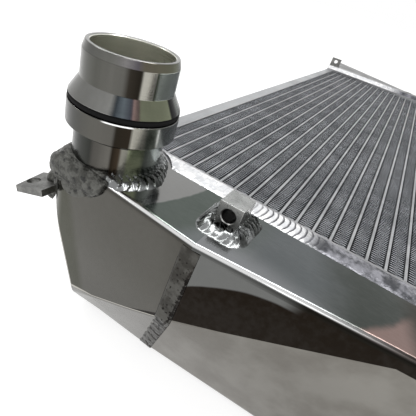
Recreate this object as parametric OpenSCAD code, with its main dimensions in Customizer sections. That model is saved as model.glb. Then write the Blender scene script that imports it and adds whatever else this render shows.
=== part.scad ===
// Aluminium radiator: a core of flat tubes and corrugated fins between two headers,
// closed by two tapered sheet tanks, with a turned neck on the wide end of each tank.
// It lies on the flat bottoms of its tanks, with the air face of the core on top.

/* [Core] */
// Number of tubes side by side across the core face
tube_count = 38; // [24:1:44]
// Spacing of the tubes across the core face
tube_pitch = 10; // [9:0.5:12]
// Thickness of one flat tube
tube_thick = 2; // [1.6:0.2:3]
// Width of one flat tube, through the depth of the core
tube_width = 51; // [46:1:56]
// Rows of tubes behind each other through the depth of the core
tube_rows = 2; // [2:1:2]
// Gap between the tube rows
row_gap = 2; // [1:0.5:4]
// Wall of the flat tubes
tube_wall = 0.4; // [0.3:0.1:0.6]
// Distance between the two headers
core_len = 594; // [450:1:750]
// Length that each tube stands through its header
tube_stub = 2; // [1:0.5:4]
// Length of one fold of a fin strip
fin_fold = 20; // [18:1:40]
// Sheet of a fin strip
fin_sheet = 0.3; // [0.2:0.1:0.5]
// Width of a side plate on the air face
side_w = 11; // [8:1:14]
// Sheet of the side plates
side_sheet = 2; // [1.5:0.5:3]

/* [Headers] */
// Sheet of the headers
header_sheet = 2.5; // [2:0.5:3]
// Length of the header rim that the tank is welded to
header_rim = 8; // [6:1:12]
// Height that a header stands proud of the core face
header_rise = 3; // [2.8:0.2:4]
// Corner radius of a header
header_corner = 5; // [3:1:8]
// Play of a tube in its slot
slot_play = 0.1; // [0.05:0.05:0.2]
// Width of the header weld
weld_w = 15; // [10:1:16]
// Height of the header weld
weld_h = 1.4; // [0.8:0.2:2.4]

/* [Near tank] */
// Sheet of both tanks
tank_sheet = 3; // [2:0.5:4]
// Radius of the folds along the tanks
fold_r = 4; // [3.5:0.5:6]
// Overhang of the inlet end past the header
end_over = 9; // [6:1:14]
// Corner radius of the inlet end, seen from above
end_corner = 12; // [8:1:16]
// Reach of the tank in front of the header at the outer end
reach_end = 56; // [50:1:70]
// Reach of the tank in front of the header at the seam
reach_seam = 63; // [54:1:80]
// Reach of the tank at its closed right end
reach_tip = 20; // [16:1:30]
// Distance of the seam from the first tube
seam_x = 71; // [60:1:90]
// Distance that the seam leans back from its top to its bottom
seam_lean = 15; // [4:1:20]
// Height of the front face at the seam, above the lower fold
front_seam = 53; // [40:1:70]
// Reach of the tank bottom at the seam
foot_seam = 45; // [40:1:50]
// Reach of the tank bottom at its right end
foot_tip = 17; // [13:1:24]
// Distance from the first tube to where the lower fold runs out
runout_x = 162; // [140:1:200]
// Reach of the tank bottom where the lower fold runs out
foot_runout = 37; // [30:1:40]
// Steepness of the lower fold on the inlet end
fold_slope = 0.55; // [0.4:0.05:0.7]
// Width of the slanted facet under the outer end
end_facet_w = 30.5; // [24:0.5:32]
// Height of the slanted facet under the outer end
end_facet_h = 62; // [56:1:76]

/* [Far tank] */
// Reach of the far tank behind its header at the outlet end
far_reach_end = 120; // [90:1:140]
// Reach of the far tank at its seam
far_reach_seam = 42; // [30:1:60]
// Reach of the far tank at its closed right end
far_reach_tip = 26; // [20:1:30]
// Distance of the far seam from the first tube
far_seam_x = 130; // [100:1:160]
// Height that the far tank stands above its header
far_step = 3; // [1:0.5:5]
// Height of the bevel under the back of the far tank
far_bevel = 24; // [12:1:40]

/* [Necks] */
// Radius of the bore through a neck
bore_r = 20.7; // [16:0.1:21]
// Outer radius of the nose that the hose sits on
nose_r = 24.1; // [23:0.1:26]
// Outer radius of the collar
collar_r = 29.2; // [28:0.1:31]
// Outer radius of the tube under the collar
stem_r = 24.5; // [23.5:0.1:25.5]
// Height of a neck above its tank
neck_h = 59; // [52:1:66]
// Height of the underside of the collar
collar_z = 17; // [14:1:20]
// Height of the seal groove above the tank
groove_z = 31; // [29:0.5:33]
// Width of the seal groove
groove_w = 3.2; // [2.6:0.2:4]
// Depth of the seal groove
groove_d = 3.3; // [2.6:0.1:3.6]
// Section of the seal ring
seal_d = 3; // [2.4:0.2:3.2]
// Play of a neck in the hole of its tank
neck_play = 0.2; // [0.1:0.1:0.4]
// Place of the inlet neck along the near tank, from the first tube
neck_x = -1; // [-2:1:10]
// Distance of the inlet neck from the core
neck_y = 32; // [31:0.5:33]
// Place of the outlet neck along the far tank, from the first tube
outlet_x = 40; // [30:1:50]
// Depth of the outlet neck below the air face
outlet_depth = 40; // [36:1:48]
// Width of the weld round a neck
neck_weld = 7.5; // [4:0.5:7.5]

/* [Brackets] */
// Width of the threaded block on the near tank
block_w = 13; // [11:1:16]
// Depth of the threaded block
block_d = 14.5; // [12:0.5:18]
// Height of the threaded block
block_h = 13; // [11:1:16]
// Distance of the block from the first tube
block_x = 74.5; // [66:0.5:90]
// Distance of the front of the block from the header
block_y = 39; // [34:1:44]
// Radius of the hole through the block
block_hole_r = 3.8; // [3:0.1:4.2]
// Thickness of the corner tab
tab_thick = 4; // [3:0.5:6]
// Radius of the hole in the corner tab
tab_hole_r = 3.9; // [3:0.1:4.2]
// Downward tilt of the corner tab
tab_tilt = 14; // [5:1:20]
// Height of the standing bracket on the far tank
stand_h = 15; // [12:1:24]
// Width of the standing bracket
stand_w = 17; // [14:1:24]
// Sheet of the standing bracket
stand_sheet = 3; // [2:0.5:4]
// Radius of the hole in the standing bracket
stand_hole_r = 3.3; // [2:0.1:4]

/* [Hidden] */

// Core
fin_h = tube_pitch - tube_thick;
core_depth = tube_rows * tube_width + (tube_rows - 1) * row_gap;
core_left = -tube_pitch + tube_thick / 2;
core_right = (tube_count - 1) * tube_pitch + tube_pitch - tube_thick / 2;
header_over = 1;
header_left = core_left - side_w - header_over;
header_right = core_right + side_w + header_over;
header_depth = header_sheet + header_rim;
top_z = header_rise;
floor_z = -core_depth - header_rise;
tank_h = top_z - floor_z;
cut = 1;

// Near tank: reach is measured from the core face, outwards
near_left = header_left - end_over;
corner_end_x = near_left + end_corner;
return_r = end_over - 1;
crease_kink = 2;
facet_x = near_left + end_facet_w;
face_min = 8;
crease_gap = 14;

// Places of the sections between the ends of each tank
inlet_ring_1 = facet_x + 18.5;
inlet_ring_2 = (inlet_ring_1 + seam_x) / 2;
taper_ring_1 = seam_x + 0.3 * (runout_x - seam_x);
taper_ring_2 = seam_x + 0.65 * (runout_x - seam_x);
taper_ring_3 = (runout_x + header_right) / 2;
far_ring = header_left + 0.4 * (far_seam_x - header_left);

// Welds
seam_w = 9.5;
seam_h = 0.6;
corner_bead = 2;
weld_clear = header_depth - 2 + weld_w / 2 + 0.3;

// Far tank
far_top_z = top_z + far_step;
far_foot_inset = 16;
far_corner = 12;

// Necks
nose_lead = 1.2;
nose_lead_h = 4;
cone_z = 42.4;
rim_chamfer = 0.6;
collar_chamfer = 2.8;
collar_step = 0.2;
seal_play = 0.05;
front_bead_drop = 17;
front_bead_out = 6;
front_bead_end = 16;
front_bead_start_size = 0.35;
side_bead_len = 24;
side_bead_end_size = 0.6;
bead_crown = 0.8;

// Brackets
block_weld_w = 8;
block_weld_lap = 4.5;
block_weld_back = 4.5;
block_weld_front = block_h / 2 - block_hole_r - slot_play - 0.1;
block_weld_round = 7;
tab_z = -19;
tab_hole = [near_left - 5.6, -reach_end - 3.5];
tab_front_w = 3.5;
tab_root_len = 17.5;
tab_outer_len = 21.5;
tab_back_len = 26.5;
tab_weld_r = 5;
tab_weld_len = 10;
stand_foot = 10;
bracket_bead = 3;

// Number of steps on a fold, on a rounded end and across a weld bead
fold_steps = 8;
end_steps = 6;
bead_steps = 8;
round_facets = 24;
$fn = 48;

function tab_root() = near_left + 9;
function tab_left() = near_left - 11.5;
function tab_front_y() = reach_end + 13.5;
function outlet_v() = far_reach(outlet_x);
outlet_turn = atan((far_reach_end - far_reach_seam) / (far_seam_x - header_left));
function outlet_tip_y() = outlet_v() + neck_h * cos(outlet_turn) + nose_r * sin(outlet_turn);

// The whole radiator is placed with the middle of its footprint at the origin
part_left = tab_root() + (tab_left() - tab_root()) * cos(tab_tilt);
part_right = header_right + 2 * corner_bead;
part_front = -tab_front_y();
part_back = core_len + outlet_tip_y();
shift = [-(part_left + part_right) / 2, -(part_front + part_back) / 2, weld_h - floor_z];

// Straight line through two points of a graph
function line(x, x0, y0, x1, y1) = y0 + (y1 - y0) * (x - x0) / (x1 - x0);

// Reach lost to a corner of radius r that starts at x = end
function corner_loss(x, end, r) = x >= end ? 0 : r - sqrt(max(0, r * r - pow(end - x, 2)));

// Sizes of the near tank at a place along it
function inlet_reach(x) = line(x, near_left, reach_end, seam_x, reach_seam)
  - corner_loss(x, corner_end_x, end_corner);
function inlet_foot_z(x) = floor_z + max(0, facet_x - x) * end_facet_h / end_facet_w;
function inlet_crease_z(x) = max(
  top_z - front_seam - fold_slope * (seam_x - x), inlet_foot_z(x) + crease_gap);
function inlet_back(x) = header_depth + corner_loss(x, near_left + return_r, return_r);
function taper_reach(x) = line(x, seam_x, reach_seam, header_right, reach_tip);
function taper_foot(x) = x < runout_x
  ? line(x, seam_x - seam_lean, foot_seam, runout_x, foot_runout)
  : line(x, runout_x, foot_runout, header_right, foot_tip);
function taper_crease_z(x) = x < runout_x
  ? line(x, seam_x, top_z - front_seam, runout_x, top_z - face_min)
  : top_z - face_min;
function far_reach(x) = x < far_seam_x
  ? line(x, header_left, far_reach_end, far_seam_x, far_reach_seam)
  : line(x, far_seam_x, far_reach_seam, header_right, far_reach_tip);

// A section is five corners in order: back top, front top, lower fold, foot, back bottom.
// Each corner is [x, reach, z].
function inlet_corners(p, x) = [
  [x, inlet_back(p), top_z],
  [x, inlet_reach(p), top_z],
  [x, inlet_reach(p), inlet_crease_z(p)],
  [x, min(foot_seam, inlet_reach(p) - 1), inlet_foot_z(p)],
  [x, inlet_back(p), floor_z]
];
function seam_corners(move) = [
  [seam_x + move, header_depth, top_z],
  [seam_x + move, reach_seam, top_z],
  [seam_x + move - crease_kink, reach_seam, top_z - front_seam],
  [seam_x + move - seam_lean, foot_seam, floor_z],
  [seam_x + move - seam_lean, header_depth, floor_z]
];
function taper_corners(x) = [
  [x, header_depth, top_z],
  [x, taper_reach(x), top_z],
  [x, taper_reach(x), taper_crease_z(x)],
  [x, taper_foot(x), floor_z],
  [x, header_depth, floor_z]
];
function far_corners(p, x) =
  let (lost = corner_loss(p, header_left + far_corner, far_corner),
       foot_in = p < far_seam_x
         ? line(p, header_left, far_foot_inset, far_seam_x, far_foot_inset / 2)
         : line(p, far_seam_x, far_foot_inset / 2, header_right, far_foot_inset / 4))
  [
    [x, header_depth, far_top_z],
    [x, far_reach(p) - lost, far_top_z],
    [x, far_reach(p) - lost, floor_z + far_bevel],
    [x, far_reach(p) - lost - foot_in, floor_z],
    [x, header_depth, floor_z]
  ];

// Inset of a section by a wall, measured in the plane of the section
function side_dir(a, b) = [b[1] - a[1], b[2] - a[2]] / norm([b[1] - a[1], b[2] - a[2]]);
function moved_corner(p, d0, d1, t0, t1) =
  let (n0 = [d0[1], -d0[0]], n1 = [d1[1], -d1[0]],
       det = n0[0] * n1[1] - n0[1] * n1[0])
  [
    p[0],
    p[1] + (t0 * n1[1] - t1 * n0[1]) / det,
    p[2] + (n0[0] * t1 - n1[0] * t0) / det
  ];
function inset(c, t) = [
  for (i = [0:len(c) - 1])
    let (prev = c[(i + len(c) - 1) % len(c)], next = c[(i + 1) % len(c)])
    moved_corner(c[i], side_dir(prev, c[i]), side_dir(c[i], next), t, t)
];

// Round fold at a corner: points from one tangent to the other
function fold(p, a, b, r) =
  let (u = side_dir(p, a), v = side_dir(p, b),
       half = acos(max(-1, min(1, u * v))) / 2,
       la = norm([a[1] - p[1], a[2] - p[2]]), lb = norm([b[1] - p[1], b[2] - p[2]]),
       d = min(r / tan(half), 0.45 * min(la, lb)),
       c = [p[1], p[2]] + (u + v) / norm(u + v) * d / cos(half),
       s = [p[1], p[2]] + u * d - c, e = [p[1], p[2]] + v * d - c,
       start = atan2(s[1], s[0]), turn0 = atan2(e[1], e[0]) - start,
       turn = turn0 > 180 ? turn0 - 360 : turn0 < -180 ? turn0 + 360 : turn0,
       xa = p[0] + (a[0] - p[0]) * d / la, xb = p[0] + (b[0] - p[0]) * d / lb)
  [
    for (i = [0:fold_steps])
      let (w = start + turn * i / fold_steps)
      [xa + (xb - xa) * i / fold_steps, c[0] + norm(s) * cos(w), c[1] + norm(s) * sin(w)]
  ];
function folded(c, r) = concat(
  [c[0]], fold(c[1], c[0], c[2], r), fold(c[2], c[1], c[3], 2 * r),
  fold(c[3], c[2], c[4], 2 * r), [c[4]]);

// Solid through a row of sections. The far side mirrors reach into +Y behind the core.
module loft(sections, far = false) {
  n = len(sections[0]);
  m = len(sections);
  points = [
    for (s = sections) for (q = s) [q[0], far ? core_len + q[1] : -q[1], q[2]]
  ];
  sides = [
    for (j = [0:m - 2]) for (i = [0:n - 1])
      let (a = j * n + i, b = j * n + (i + 1) % n, c = a + n, d = b + n)
      each [[a, c, b], [b, c, d]]
  ];
  caps = [
    for (i = [1:n - 2]) each [[0, i, i + 1], [(m - 1) * n, (m - 1) * n + i + 1, (m - 1) * n + i]]
  ];
  faces = concat(sides, caps);
  polyhedron(points, far ? [for (f = faces) [f[2], f[1], f[0]]] : faces);
}

// Places along the rounded outer end
function end_places(x0, r) = [for (i = [0:end_steps]) x0 + r * (1 - cos(90 * i / end_steps))];
function inlet_rings() = concat(end_places(near_left, end_corner), [facet_x, inlet_ring_1, inlet_ring_2]);
function far_places() = concat(end_places(header_left, far_corner), [far_ring]);

module inlet_outer(grow = 0) {
  loft(concat(
    [for (p = inlet_rings()) folded(inset(inlet_corners(p, p), -grow), fold_r)],
    [folded(inset(seam_corners(0), -grow), fold_r)]));
}
module inlet_cavity() {
  r = fold_r - tank_sheet + 1;
  loft(concat(
    [for (p = inlet_rings()) folded(inset(inlet_corners(p, p + tank_sheet), tank_sheet), r)],
    [folded(inset(seam_corners(1), tank_sheet), r)]));
}
function taper_places() = [taper_ring_1, taper_ring_2, runout_x, taper_ring_3, header_right];
module taper_outer(grow = 0) {
  loft(concat([folded(inset(seam_corners(0), -grow), fold_r)],
    [for (x = taper_places()) folded(inset(taper_corners(x), -grow), fold_r)]));
}
module taper_cavity() {
  r = fold_r - tank_sheet + 1;
  loft(concat([folded(inset(seam_corners(-1), tank_sheet), r)],
    [for (x = taper_places())
      folded(inset(taper_corners(x == header_right ? x + 1 : x), tank_sheet), r)]));
}
module far_outer(places, grow = 0) {
  loft([for (p = places) folded(inset(far_corners(p, p), -grow), fold_r)], true);
}
module far_cavity(places, lead) {
  r = fold_r - tank_sheet + 1;
  loft([for (p = places) folded(inset(far_corners(p, p + lead), tank_sheet), r)], true);
}

// Mirrors a piece of the near header to the far one
module at_far() {
  translate([0, core_len, 0]) mirror([0, 1, 0]) children();
}
module placed() {
  translate(shift) children();
}

// Flat oval of a tube, standing along Y
module oval(w, t) {
  square([t, w - t], center = true);
  for (s = [-1, 1]) translate([0, s * (w - t) / 2]) circle(d = t);
}
function row_z(row) = -tube_width / 2 - row * (tube_width + row_gap);

module tube_row(row) {
  reach = header_sheet + tube_stub;
  for (k = [0:tube_count - 1])
    translate([k * tube_pitch, -reach, row_z(row)]) rotate([-90, 0, 0])
      linear_extrude(core_len + 2 * reach) difference() {
        oval(tube_width, tube_thick);
        oval(tube_width - 2 * tube_wall, tube_thick - 2 * tube_wall);
      }
}
module near_row_tubes() {
  color("silver") placed() tube_row(0);
}
module far_row_tubes() {
  color("silver") placed() tube_row(tube_rows - 1);
}

// One folded strip fills the gap beside a tube and runs through the whole depth.
// Its crests are flattened where they are brazed to the tubes.
module fin_strip() {
  half = fin_fold / 2;
  reach = fin_sheet * norm([fin_h, half]) / half / 2;
  flat = reach * half / fin_h;
  folds = floor((core_len - 2 * flat) / half);
  y0 = (core_len - folds * half) / 2;
  function crest(i, x, way) = [[x, y0 + i * half - way * flat], [x, y0 + i * half + way * flat]];
  function inner_side(i) = i % 2 == 0 ? crest(i, 0, 1) : [[fin_h - reach, y0 + i * half]];
  function outer_side(i) = i % 2 == 0 ? [[reach, y0 + i * half]] : crest(i, fin_h, -1);
  translate([0, 0, -core_depth]) linear_extrude(core_depth)
    polygon(concat([for (i = [0:folds]) each inner_side(i)],
      [for (i = [folds:-1:0]) each outer_side(i)]));
}
module fins() {
  color("gray") placed()
    for (k = [0:tube_count])
      translate([core_left + k * tube_pitch, 0, 0]) fin_strip();
}

// Side plates: channels with the web on the outer fins and both rims outwards
module side_plate() {
  difference() {
    translate([-side_w, 0, -core_depth]) cube([side_w, core_len, core_depth]);
    translate([-side_w - cut, -cut, side_sheet - core_depth])
      cube([side_w - side_sheet + cut, core_len + 2 * cut, core_depth - 2 * side_sheet]);
  }
}
module left_side_plate() {
  color("gainsboro") placed() translate([core_left, 0, 0]) side_plate();
}
module right_side_plate() {
  color("gainsboro") placed() translate([core_right, 0, 0]) mirror([1, 0, 0]) side_plate();
}

// Headers: shallow trays with a slot for each tube, open towards the tank
module tray_outline(margin) {
  x0 = header_left + margin;
  z0 = floor_z + margin;
  w = header_right - header_left - 2 * margin;
  h = tank_h - 2 * margin;
  r = header_corner - min(margin, header_corner - 1);
  translate([x0 + r, z0]) square([w - 2 * r, h]);
  translate([x0, z0 + r]) square([w, h - 2 * r]);
  for (x = [x0 + r, x0 + w - r], z = [z0 + r, z0 + h - r]) translate([x, z]) circle(r = r);
}
module header() {
  rotate([90, 0, 0]) difference() {
    linear_extrude(header_depth) tray_outline(0);
    translate([0, 0, header_sheet]) linear_extrude(header_depth) tray_outline(header_sheet);
    translate([0, 0, -cut]) linear_extrude(header_sheet + 2 * cut)
      for (k = [0:tube_count - 1], row = [0:tube_rows - 1])
        translate([k * tube_pitch, row_z(row)])
          oval(tube_width + 2 * slot_play, tube_thick + 2 * slot_play);
  }
}
module near_header() {
  color("lightgray") placed() difference() {
    header();
    neck_hole();
  }
}
module far_header() {
  color("lightgray") placed() at_far() header();
}

// Opening of a tank towards its header
module tank_mouth(x0, x1, z1) {
  translate([x0, -header_depth - tank_sheet - cut, floor_z + tank_sheet])
    cube([x1 - x0, tank_sheet + 2 * cut, z1 - floor_z - 2 * tank_sheet]);
}
// Hole for the foot of the inlet neck, through the tank and into the header rim
module neck_hole() {
  at_inlet() translate([0, 0, -tank_sheet - cut])
    cylinder(r = stem_r + neck_play, h = tank_sheet + 2 * cut);
}
module inlet_tank() {
  color("darkgray") placed() difference() {
    inlet_outer();
    inlet_cavity();
    tank_mouth(header_left + tank_sheet, seam_x + seam_lean, top_z);
    neck_hole();
  }
}
module near_taper_tank() {
  color("dimgray") placed() difference() {
    taper_outer();
    taper_cavity();
    tank_mouth(seam_x - 2 * seam_lean, header_right + cut, top_z);
  }
}
module near_tank_cap() {
  c = folded(taper_corners(header_right), fold_r);
  color("darkgray") placed() translate([header_right, 0, 0]) rotate([90, 0, 90])
    linear_extrude(tank_sheet) polygon([for (q = c) [-q[1], q[2]]]);
}
function far_end_places() = concat(far_places(), [far_seam_x]);
function far_taper_places() = [far_seam_x, header_right];
module outlet_tank() {
  color("darkgray") placed() difference() {
    far_outer(far_end_places());
    far_cavity(concat(far_places(), [far_seam_x]), tank_sheet);
    at_far() tank_mouth(header_left + tank_sheet, far_seam_x + cut, far_top_z);
    at_outlet() translate([0, 0, -tank_sheet - 2 * cut])
      cylinder(r = stem_r + neck_play, h = tank_sheet + 3 * cut);
  }
}
module far_taper_tank() {
  color("darkgray") placed() difference() {
    far_outer(far_taper_places());
    loft([for (p = far_taper_places())
      folded(inset(far_corners(p, p == far_seam_x ? p - cut : p + cut), tank_sheet),
        fold_r - tank_sheet + 1)], true);
    at_far() tank_mouth(far_seam_x - cut, header_right + cut, far_top_z);
  }
}
module far_tank_cap() {
  c = folded(far_corners(header_right, header_right), fold_r);
  color("darkgray") placed() translate([header_right, core_len, 0]) rotate([90, 0, 90])
    linear_extrude(tank_sheet) polygon([for (q = c) [q[1], q[2]]]);
}

// Seam welds: ground flat bands that stand just proud of the sheet
module near_seam_weld() {
  color("gray") placed() difference() {
    loft([for (m = [-1, 1]) folded(inset(seam_corners(m * seam_w / 2), -seam_h), fold_r + seam_h)]);
    inlet_outer();
    taper_outer();
    translate([header_left, -weld_clear, floor_z - cut])
      cube([2 * seam_x, weld_clear, tank_h + 2 * cut]);
    translate([header_left, fold_r - reach_seam, top_z - cut])
      cube([2 * seam_x, reach_seam, 3 * cut]);
  }
}
module far_seam_weld() {
  color("gray") placed() difference() {
    loft([for (m = [-1, 1])
      let (x = far_seam_x + m * seam_w / 2)
      folded(inset(far_corners(x, x), -seam_h), fold_r + seam_h)], true);
    far_outer(far_end_places());
    far_outer(far_taper_places());
    translate([header_left, core_len, floor_z - cut])
      cube([2 * far_seam_x, weld_clear, tank_h + far_step + 2 * cut]);
  }
}

// Low rounded bead of width w and height h, running along X
module bead(len, w, h) {
  r = (w * w / 4 + h * h) / (2 * h);
  half = asin(w / 2 / r);
  rotate([90, 0, 90]) linear_extrude(len) polygon([
    for (i = [0:bead_steps])
      let (a = half * (1 - 2 * i / bead_steps)) [r * sin(a), h - r * (1 - cos(a))]
  ]);
}
module header_beads() {
  w = header_right - header_left;
  y = -header_depth + 2;
  translate([header_left, y, floor_z]) mirror([0, 0, 1]) bead(w, weld_w, weld_h);
  for (x = [header_left - corner_bead, header_right + corner_bead])
    translate([x, -header_depth + corner_bead, floor_z + 2 * header_corner])
      cylinder(r = corner_bead, h = tank_h - 4 * header_corner);
}
module near_header_weld() {
  color("white") placed() {
    header_beads();
    difference() {
      translate([header_left, -header_depth + 2, top_z])
        bead(header_right - header_left, weld_w, weld_h);
      translate([neck_x, -neck_y, top_z - cut])
        cylinder(r = stem_r + neck_weld + neck_play, h = weld_h + 2 * cut);
    }
  }
}
module far_header_weld() {
  lap = weld_w / 3;
  color("white") placed() at_far() {
    header_beads();
    translate([header_left, 0, top_z]) rotate([90, 0, 90])
      linear_extrude(header_right - header_left) polygon([
        [-cut, 0], [-header_depth, 0], [-header_depth, far_step],
        [-header_depth - lap, far_step], [-header_depth - lap / 2, far_step + weld_h],
        [-header_depth + lap / 2, far_step + weld_h / 2]
      ]);
  }
}

// Necks: turned in one piece, with a seal groove between the collar and the cone
module at_inlet() {
  translate([neck_x, -neck_y, top_z]) children();
}
module at_outlet() {
  translate([outlet_x, core_len + outlet_v(), -outlet_depth]) rotate([0, 0, -outlet_turn])
    rotate([-90, 0, 0]) children();
}
module neck() {
  cone_foot = groove_z + groove_w;
  rotate_extrude() polygon([
    [bore_r, -tank_sheet], [stem_r, -tank_sheet], [stem_r, collar_z],
    [collar_r, collar_z + collar_chamfer], [collar_r, groove_z],
    [collar_r - groove_d, groove_z], [collar_r - groove_d, cone_foot],
    [collar_r - collar_step, cone_foot], [nose_r, cone_z], [nose_r, neck_h - nose_lead_h],
    [nose_r - nose_lead, neck_h], [bore_r + rim_chamfer, neck_h],
    [bore_r, neck_h - rim_chamfer]
  ]);
}
module seal() {
  rotate_extrude() translate([
    collar_r - groove_d + seal_d / 2 + seal_play, groove_z + groove_w / 2
  ]) circle(d = seal_d);
}
module neck_ring() {
  rotate_extrude() intersection() {
    translate([stem_r, 0]) square(neck_weld);
    translate([stem_r, 0]) circle(r = neck_weld);
  }
}
module inlet_neck() {
  color("silver") placed() at_inlet() neck();
}
module inlet_seal() {
  color("black") placed() at_inlet() seal();
}
module outlet_neck() {
  color("silver") placed() at_outlet() neck();
}
module outlet_seal() {
  color("black") placed() at_outlet() seal();
}
module outlet_neck_weld() {
  color("gray") placed() at_outlet() neck_ring();
}

// The inlet weld also runs down over the front edge and round the outer corner.
// Its path is [x, reach, outward direction]; its section hugs the fold of the tank.
function bead_path() = concat(
  [for (x = [front_bead_end, neck_x, corner_end_x]) [x, inlet_reach(x), 90]],
  [for (i = [1:end_steps])
    let (w = 90 * i / end_steps)
    [corner_end_x - end_corner * sin(w),
     inlet_reach(corner_end_x) - end_corner * (1 - cos(w)), 90 + w]],
  [for (back = [12, side_bead_len])
    [near_left, inlet_reach(corner_end_x) - end_corner - back, 180]]);
function bead_section(size) =
  let (out = size * front_bead_out, drop = size * front_bead_drop)
  [
    [-fold_r, 0], [-fold_r / 2, -fold_r], [-cut, -drop], [out / 2, -drop],
    [out * 0.87, -drop * 0.65], [out, -drop * 0.3], [out * 0.83, -bead_crown],
    [out * 0.67, 0]
  ];
module front_bead() {
  path = bead_path();
  last = len(path) - 1;
  sizes = [
    for (k = [0:last]) k == 0 ? front_bead_start_size : k == last ? side_bead_end_size : 1
  ];
  loft([
    for (k = [0:last]) [
      for (q = bead_section(sizes[k]))
        [path[k][0] + q[0] * cos(path[k][2]), path[k][1] + q[0] * sin(path[k][2]), top_z + q[1]]
    ]
  ]);
}
module inlet_neck_weld() {
  color("gray") placed() {
    at_inlet() neck_ring();
    difference() {
      front_bead();
      inlet_outer();
      at_inlet() translate([0, 0, -tank_sheet]) cylinder(r = stem_r, h = tank_sheet + cut);
    }
  }
}

// Threaded block on the near tank, bored along Y
module threaded_block() {
  color("silver") placed() translate([block_x - block_w / 2, -block_y, top_z]) difference() {
    cube([block_w, block_d, block_h]);
    translate([block_w / 2, -cut, block_h / 2]) rotate([-90, 0, 0])
      cylinder(r = block_hole_r, h = block_d + 2 * cut);
  }
}
module block_weld() {
  side = block_w / 2 + block_weld_w - block_weld_round;
  front = block_d / 2 + block_weld_w + block_weld_lap - block_weld_round;
  back = block_d / 2 + block_weld_w - block_weld_round;
  color("lightgray") placed() translate([block_x, -block_y + block_d / 2, top_z]) difference() {
    hull() for (s = [-1, 1]) {
      for (y = [-front, back])
        translate([s * side, y, 0]) cylinder(r = block_weld_round, h = seam_h, $fn = round_facets);
      translate([s * block_w / 2, -block_d / 2, 0])
        cylinder(r = corner_bead, h = block_weld_front, $fn = round_facets);
      translate([s * block_w / 2, block_d / 2, 0])
        cylinder(r = corner_bead, h = block_weld_back, $fn = round_facets);
    }
    translate([-block_w / 2, -block_d / 2, -cut]) cube([block_w, block_d, block_h + cut]);
  }
}

// Corner tab: a thick plate that leans down and outwards from the outer corner
function tab_outline() = [
  [tab_left(), -tab_front_y() + tab_outer_len], [tab_left() + tab_front_w, -tab_front_y()],
  [tab_root(), -tab_front_y() + tab_front_w], [tab_root(), -tab_front_y() + tab_root_len],
  [near_left + tab_front_w, -tab_front_y() + tab_back_len]
];
module tab_plane() {
  translate([tab_root(), 0, tab_z]) rotate([0, -tab_tilt, 0]) translate([-tab_root(), 0, 0])
    children();
}
module corner_tab() {
  color("darkgray") placed() difference() {
    tab_plane() difference() {
      translate([0, 0, -tab_thick]) linear_extrude(tab_thick) polygon(tab_outline());
      translate([tab_hole[0], tab_hole[1], -tab_thick - cut])
        cylinder(r = tab_hole_r, h = tab_thick + 2 * cut);
    }
    inlet_outer();
  }
}
module tab_weld() {
  foot_z = tab_z - seam_h - tab_weld_len;
  color("dimgray") placed() difference() {
    translate([near_left + tab_weld_r / 2, -reach_end + tab_weld_r + cut, foot_z]) {
      cylinder(r = tab_weld_r, h = tab_weld_len);
      for (z = [0, tab_weld_len]) translate([0, 0, z]) sphere(r = tab_weld_r);
    }
    inlet_outer();
    tab_plane() translate([0, 0, -tab_thick]) linear_extrude(tab_thick) polygon(tab_outline());
  }
}

// Standing bracket: an angle of folded sheet on the left end of the far tank
module stand_place() {
  translate([header_left, core_len + weld_clear, far_top_z]) children();
}
module standing_bracket() {
  color("dimgray") placed() stand_place() difference() {
    union() {
      cube([stand_w, stand_sheet, stand_h]);
      cube([stand_w, stand_foot, stand_sheet]);
    }
    translate([stand_w / 2, -cut, (stand_h + stand_sheet) / 2]) rotate([-90, 0, 0])
      cylinder(r = stand_hole_r, h = stand_sheet + 2 * cut);
  }
}
module bracket_weld() {
  color("lightgray") placed() stand_place() translate([0, stand_foot, 0])
    rotate([90, 0, 90]) linear_extrude(stand_w)
      polygon([[0, 0], [bracket_bead, 0], [0, bracket_bead]]);
}

near_row_tubes();
far_row_tubes();
fins();
left_side_plate();
right_side_plate();
near_header();
far_header();
inlet_tank();
near_taper_tank();
near_tank_cap();
outlet_tank();
far_taper_tank();
far_tank_cap();
near_seam_weld();
far_seam_weld();
near_header_weld();
far_header_weld();
inlet_neck();
inlet_seal();
inlet_neck_weld();
outlet_neck();
outlet_seal();
outlet_neck_weld();
threaded_block();
block_weld();
corner_tab();
tab_weld();
standing_bracket();
bracket_weld();
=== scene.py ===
"""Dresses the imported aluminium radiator: tubes and folded fins between two headers,
two welded sheet tanks, turned hose necks, a threaded block, a corner tab and a bracket.

Sizes are in millimetres of the core's own frame, in which x runs across the tubes from
the middle of the first one, y runs along the tubes from the near header, and z stands on
the air face. Layout.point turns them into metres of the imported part. An angle is in
degrees where its name ends in deg, and colours are linear.
"""

import logging
import math
from collections.abc import Iterable, Sequence
from dataclasses import dataclass, field
from enum import Enum

import bpy
from bpy.types import Material, NodeSocket, Object
from mathutils import Matrix, Vector, noise


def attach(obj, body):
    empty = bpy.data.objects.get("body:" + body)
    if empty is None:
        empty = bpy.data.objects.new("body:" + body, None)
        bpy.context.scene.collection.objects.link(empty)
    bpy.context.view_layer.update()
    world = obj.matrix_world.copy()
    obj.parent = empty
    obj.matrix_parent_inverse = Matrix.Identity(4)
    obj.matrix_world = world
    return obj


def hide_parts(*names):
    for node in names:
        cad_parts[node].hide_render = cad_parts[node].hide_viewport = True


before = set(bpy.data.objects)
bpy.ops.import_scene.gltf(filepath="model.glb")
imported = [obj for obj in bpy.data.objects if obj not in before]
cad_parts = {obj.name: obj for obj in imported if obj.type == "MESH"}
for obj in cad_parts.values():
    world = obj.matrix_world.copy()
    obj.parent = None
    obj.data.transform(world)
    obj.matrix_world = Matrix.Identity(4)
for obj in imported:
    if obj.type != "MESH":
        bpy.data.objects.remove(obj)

LOG = logging.getLogger("radiator")
MM = 0.001
Corner = tuple[float, float, float]
Pairs = Sequence[tuple[float, float]]
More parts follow.
